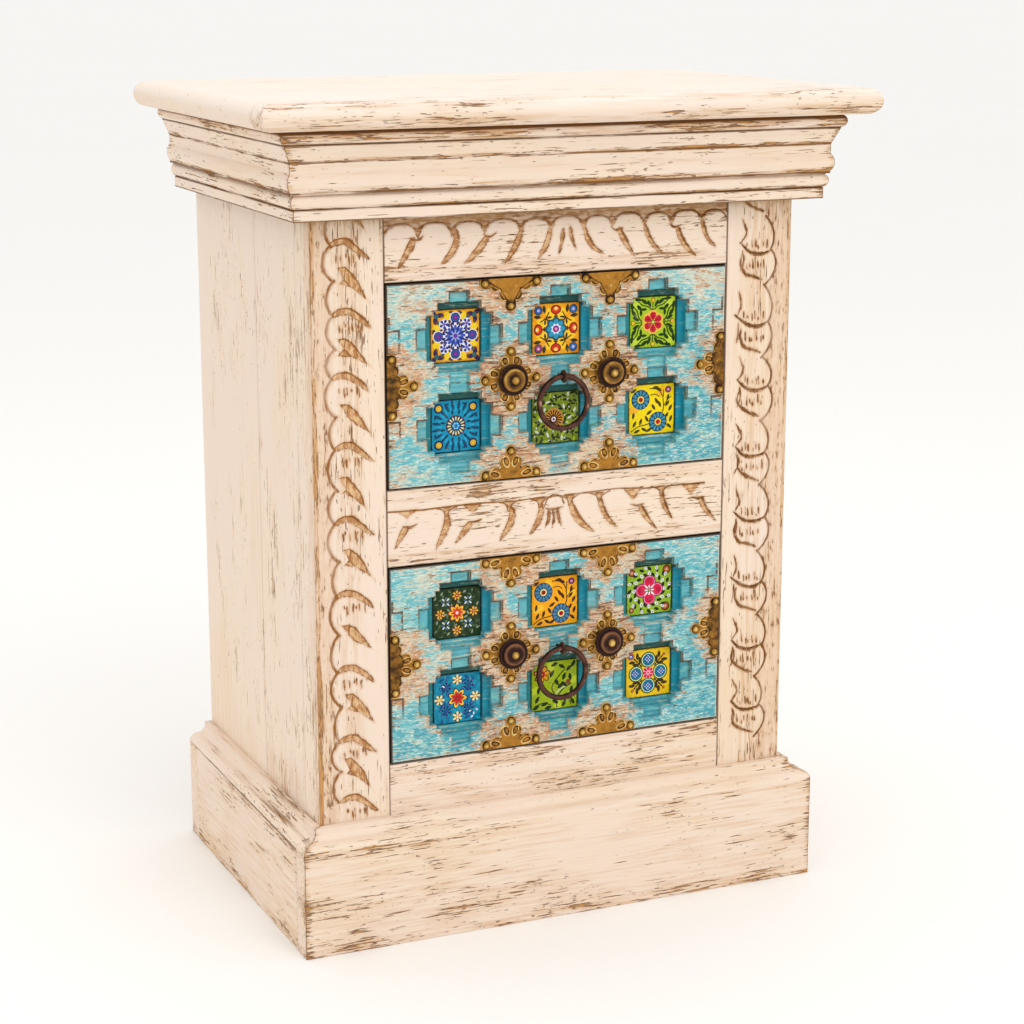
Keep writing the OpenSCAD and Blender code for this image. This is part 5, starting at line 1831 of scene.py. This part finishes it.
# Section of a knob from its foot to the seat of the nail: radius, height over the plate, and shine.
KNOB_SECTION = (
    (1.3, 0.0, 0.0), (7.6, 0.0, 0.1), (7.1, 0.5, 0.1), (6.8, 2.0, 0.0), (7.3, 2.7, 0.0), (9.6, 2.9, 0.1),
    (10.9, 3.1, 0.3), (11.4, 3.6, 0.25), (11.5, 4.2, 0.3), (11.3, 4.8, 0.25), (10.8, 5.25, 0.15),
    (10.0, 5.4, 0.1), (9.3, 5.2, 0.0), (8.8, 5.1, 0.0), (8.6, 5.4, 0.2), (8.5, 6.1, 0.55), (8.2, 6.9, 0.85),
    (7.5, 7.5, 0.95), (6.7, 7.7, 0.7), (6.0, 7.6, 0.5), (5.2, 7.35, 0.42), (4.4, 7.2, 0.36), (3.8, 7.5, 0.1),
    (3.5, 7.98, 0.3), (1.3, 8.0, 0.4),
)  # fmt: skip
KNOB_TONES = {"upper": (-0.04, "2c1611", "8f6426", "d0a75c"), "lower": (-0.24, "2f1815", "7a5034", "c99c5c")}


class KnobsOperator(bpy.types.Operator):
    """Turned knobs, spun from their section"""

    bl_idname = "bedside.knobs"
    bl_label = "Knobs"

    def execute(self, context):
        for drawer in DRAWERS:
            material = aged_brass(drawer + "_knob_brass", *KNOB_TONES[drawer])
            for side, way in SIDES:
                centre = Vector((way * PLATE_X, FACE - 1.0, MIDDLE[drawer])) * MM
                bm, layer = relief_mesh()
                ring = []
                for radius, height, shine in KNOB_SECTION:
                    ring.append(bm.verts.new(centre + Vector((radius, -height, 0)) * MM))
                    ring[-1][layer] = shine
                for ends in zip(ring, ring[1:] + ring[:1]):
                    bm.edges.new(ends)
                spin_closed(bm, centre, 48)
                node = f"{drawer}_knob_{side}"
                publish(node + "_turned", bm, material, "dark_brass", node, sharp=40)
        return {"FINISHED"}


class RingPullsOperator(bpy.types.Operator):
    """Ring pulls, slightly uneven as if bent by hand, and the eyes that hold them"""

    bl_idname = "bedside.ring_pulls"
    bl_label = "Ring pulls"

    def execute(self, context):
        # The rings' pale tone is a painted highlight on the front of the wire.
        ring_brass = aged_brass("ring_brass", -0.1, "1e0f0b", settings("brass").copper, "b58a74", 0.1)
        eye_brass = aged_brass("eye_brass", -0.1, "24120d", "5f3a26", "96784c", 0.1)
        for drawer in DRAWERS:
            bm = self.ring(*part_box(drawer + "_ring"))
            publish(drawer + "_ring_forged", bm, ring_brass, "dark_brass", drawer + "_ring", sharp=60)
            bm, layer = relief_mesh(drawer + "_eye")
            for vert in bm.verts:
                vert[layer] = 0.5 + 0.4 * soft_noise(vert.co * 300)
            publish(drawer + "_eye_bent", bm, eye_brass, "dark_brass", drawer + "_eye", sharp=50)
        return {"FINISHED"}

    def ring(self, lo, hi):
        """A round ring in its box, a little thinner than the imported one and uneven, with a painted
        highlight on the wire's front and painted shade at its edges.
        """
        centre, wire = (lo + hi) / 2, (hi.y - lo.y) / 2
        radius = (hi.x - lo.x) / 2 - wire
        wire *= 0.9
        bm, layer = relief_mesh()
        verts = bmesh.ops.create_circle(bm, cap_ends=False, segments=16, radius=wire)["verts"]
        bmesh.ops.rotate(bm, verts=verts, cent=(0, 0, 0), matrix=Matrix.Rotation(QUARTER, 3, "Y"))
        bmesh.ops.translate(bm, verts=verts, vec=centre + Vector((0, 0, radius)))
        spin_closed(bm, centre, 96)
        for vert in bm.verts:
            outwards = vert.co - centre
            outwards.y = 0
            # Painted highlight on the front of the wire and painted shade at its edges.
            front = max(0.0, (centre.y - vert.co.y) / wire)
            vert[layer] = 0.22 + 0.55 * front**2 + 0.45 * soft_noise(vert.co * 160)
            vert.co += outwards.normalized() * (0.16 * MM * soft_noise(vert.co * 70))
        return bm


class StageOperator(bpy.types.Operator):
    """Pale floor, soft studio light and the camera"""

    bl_idname = "bedside.stage"
    bl_label = "Stage"

    def execute(self, context):
        stage, scene = settings("stage"), context.scene
        self.lay_floor(scene, stage)
        self.place_camera(scene, stage)
        self.hang_lamp(scene, "key_light", (0.35, -2.1, 2.4), 0.3, stage.key, (1.0, 0.985, 0.96))
        self.hang_lamp(scene, "top_light", (-0.2, -0.2, 2.6), 0.6, stage.key * 0.6, (1.0, 0.99, 0.97))
        world = bpy.data.worlds.new("studio")
        world.use_nodes = True
        background = world.node_tree.nodes["Background"]
        background.inputs["Color"].default_value = (1.0, 0.995, 0.985, 1)
        background.inputs["Strength"].default_value = stage.fill
        scene.world = world
        scene.view_settings.view_transform = "Standard"
        return {"FINISHED"}

    def lay_floor(self, scene, stage):
        bm = bmesh.new()
        bmesh.ops.create_circle(bm, cap_ends=True, segments=64, radius=60)
        mesh = bpy.data.meshes.new("floor")
        bm.to_mesh(mesh)
        bm.free()
        floor = bpy.data.objects.new("floor", mesh)
        scene.collection.objects.link(floor)
        f = Finish("floor_paint")
        shade = f.noise((900, 900, 900), 2, 0.5, 51)
        mesh.materials.append(f.surface(f.mix(stage.floor, "ffffff", shade * 0.2), 0.7, specular=0.2))

    def place_camera(self, scene, stage):
        camera = bpy.data.cameras.new("camera")
        camera.lens, camera.sensor_width = stage.camera_lens, 36
        camera.clip_start, camera.clip_end = 0.05, 200
        eye = bpy.data.objects.new("camera", camera)
        eye.location = stage.camera_place
        eye.rotation_euler = (QUARTER - stage.camera_pitch, 0, -stage.camera_yaw)
        scene.collection.objects.link(eye)
        scene.camera = eye

    def hang_lamp(self, scene, name, place, aim, power, colour):
        """A round lamp that shines at a height over the table's middle."""
        light = bpy.data.lights.new(name, "AREA")
        light.shape, light.size, light.energy, light.color = "DISK", 1.6, power, colour
        lamp = bpy.data.objects.new(name, light)
        lamp.location = place
        lamp.rotation_euler = (Vector((0, 0, aim)) - Vector(place)).to_track_quat("-Z", "Y").to_euler()
        scene.collection.objects.link(lamp)


OPERATORS = (
    StageOperator,
    BoardsOperator,
    TopOperator,
    CrownOperator,
    PlinthOperator,
    CarvedFrameOperator,
    InnerWoodOperator,
    DrawerFrontsOperator,
    TilesOperator,
    PlatesOperator,
    TacksOperator,
    KnobsOperator,
    RingPullsOperator,
)
GROUPS = {
    "paint": PaintSettings,
    "carving": CarvingSettings,
    "brass": BrassSettings,
    "tile": TileSettings,
    "stage": StageSettings,
}


class BedsidePanel(bpy.types.Panel):
    """Lists the steps that finish the table, and their settings"""

    bl_idname = "VIEW3D_PT_bedside_table"
    bl_label = "Bedside table"
    bl_space_type = "VIEW_3D"
    bl_region_type = "UI"
    bl_category = "Bedside table"

    def draw(self, context):
        for group in GROUPS:
            box = self.layout.box()
            box.label(text=group.capitalize())
            values = settings(group)
            for name in GROUPS[group].__annotations__:
                box.prop(values, name)
        for operator in OPERATORS:
            self.layout.operator(operator.bl_idname)


CLASSES = (*GROUPS.values(), *OPERATORS, BedsidePanel)


def register():
    for cls in CLASSES:
        bpy.utils.register_class(cls)
    for group, cls in GROUPS.items():
        setattr(bpy.types.Scene, "bedside_" + group, PointerProperty(type=cls))


def unregister():
    for group in GROUPS:
        delattr(bpy.types.Scene, "bedside_" + group)
    for cls in reversed(CLASSES):
        bpy.utils.unregister_class(cls)


def main():
    register()
    for operator in OPERATORS:
        family, step = operator.bl_idname.split(".")
        getattr(getattr(bpy.ops, family), step)()
    bpy.context.view_layer.update()


if __name__ == "__main__":
    main()
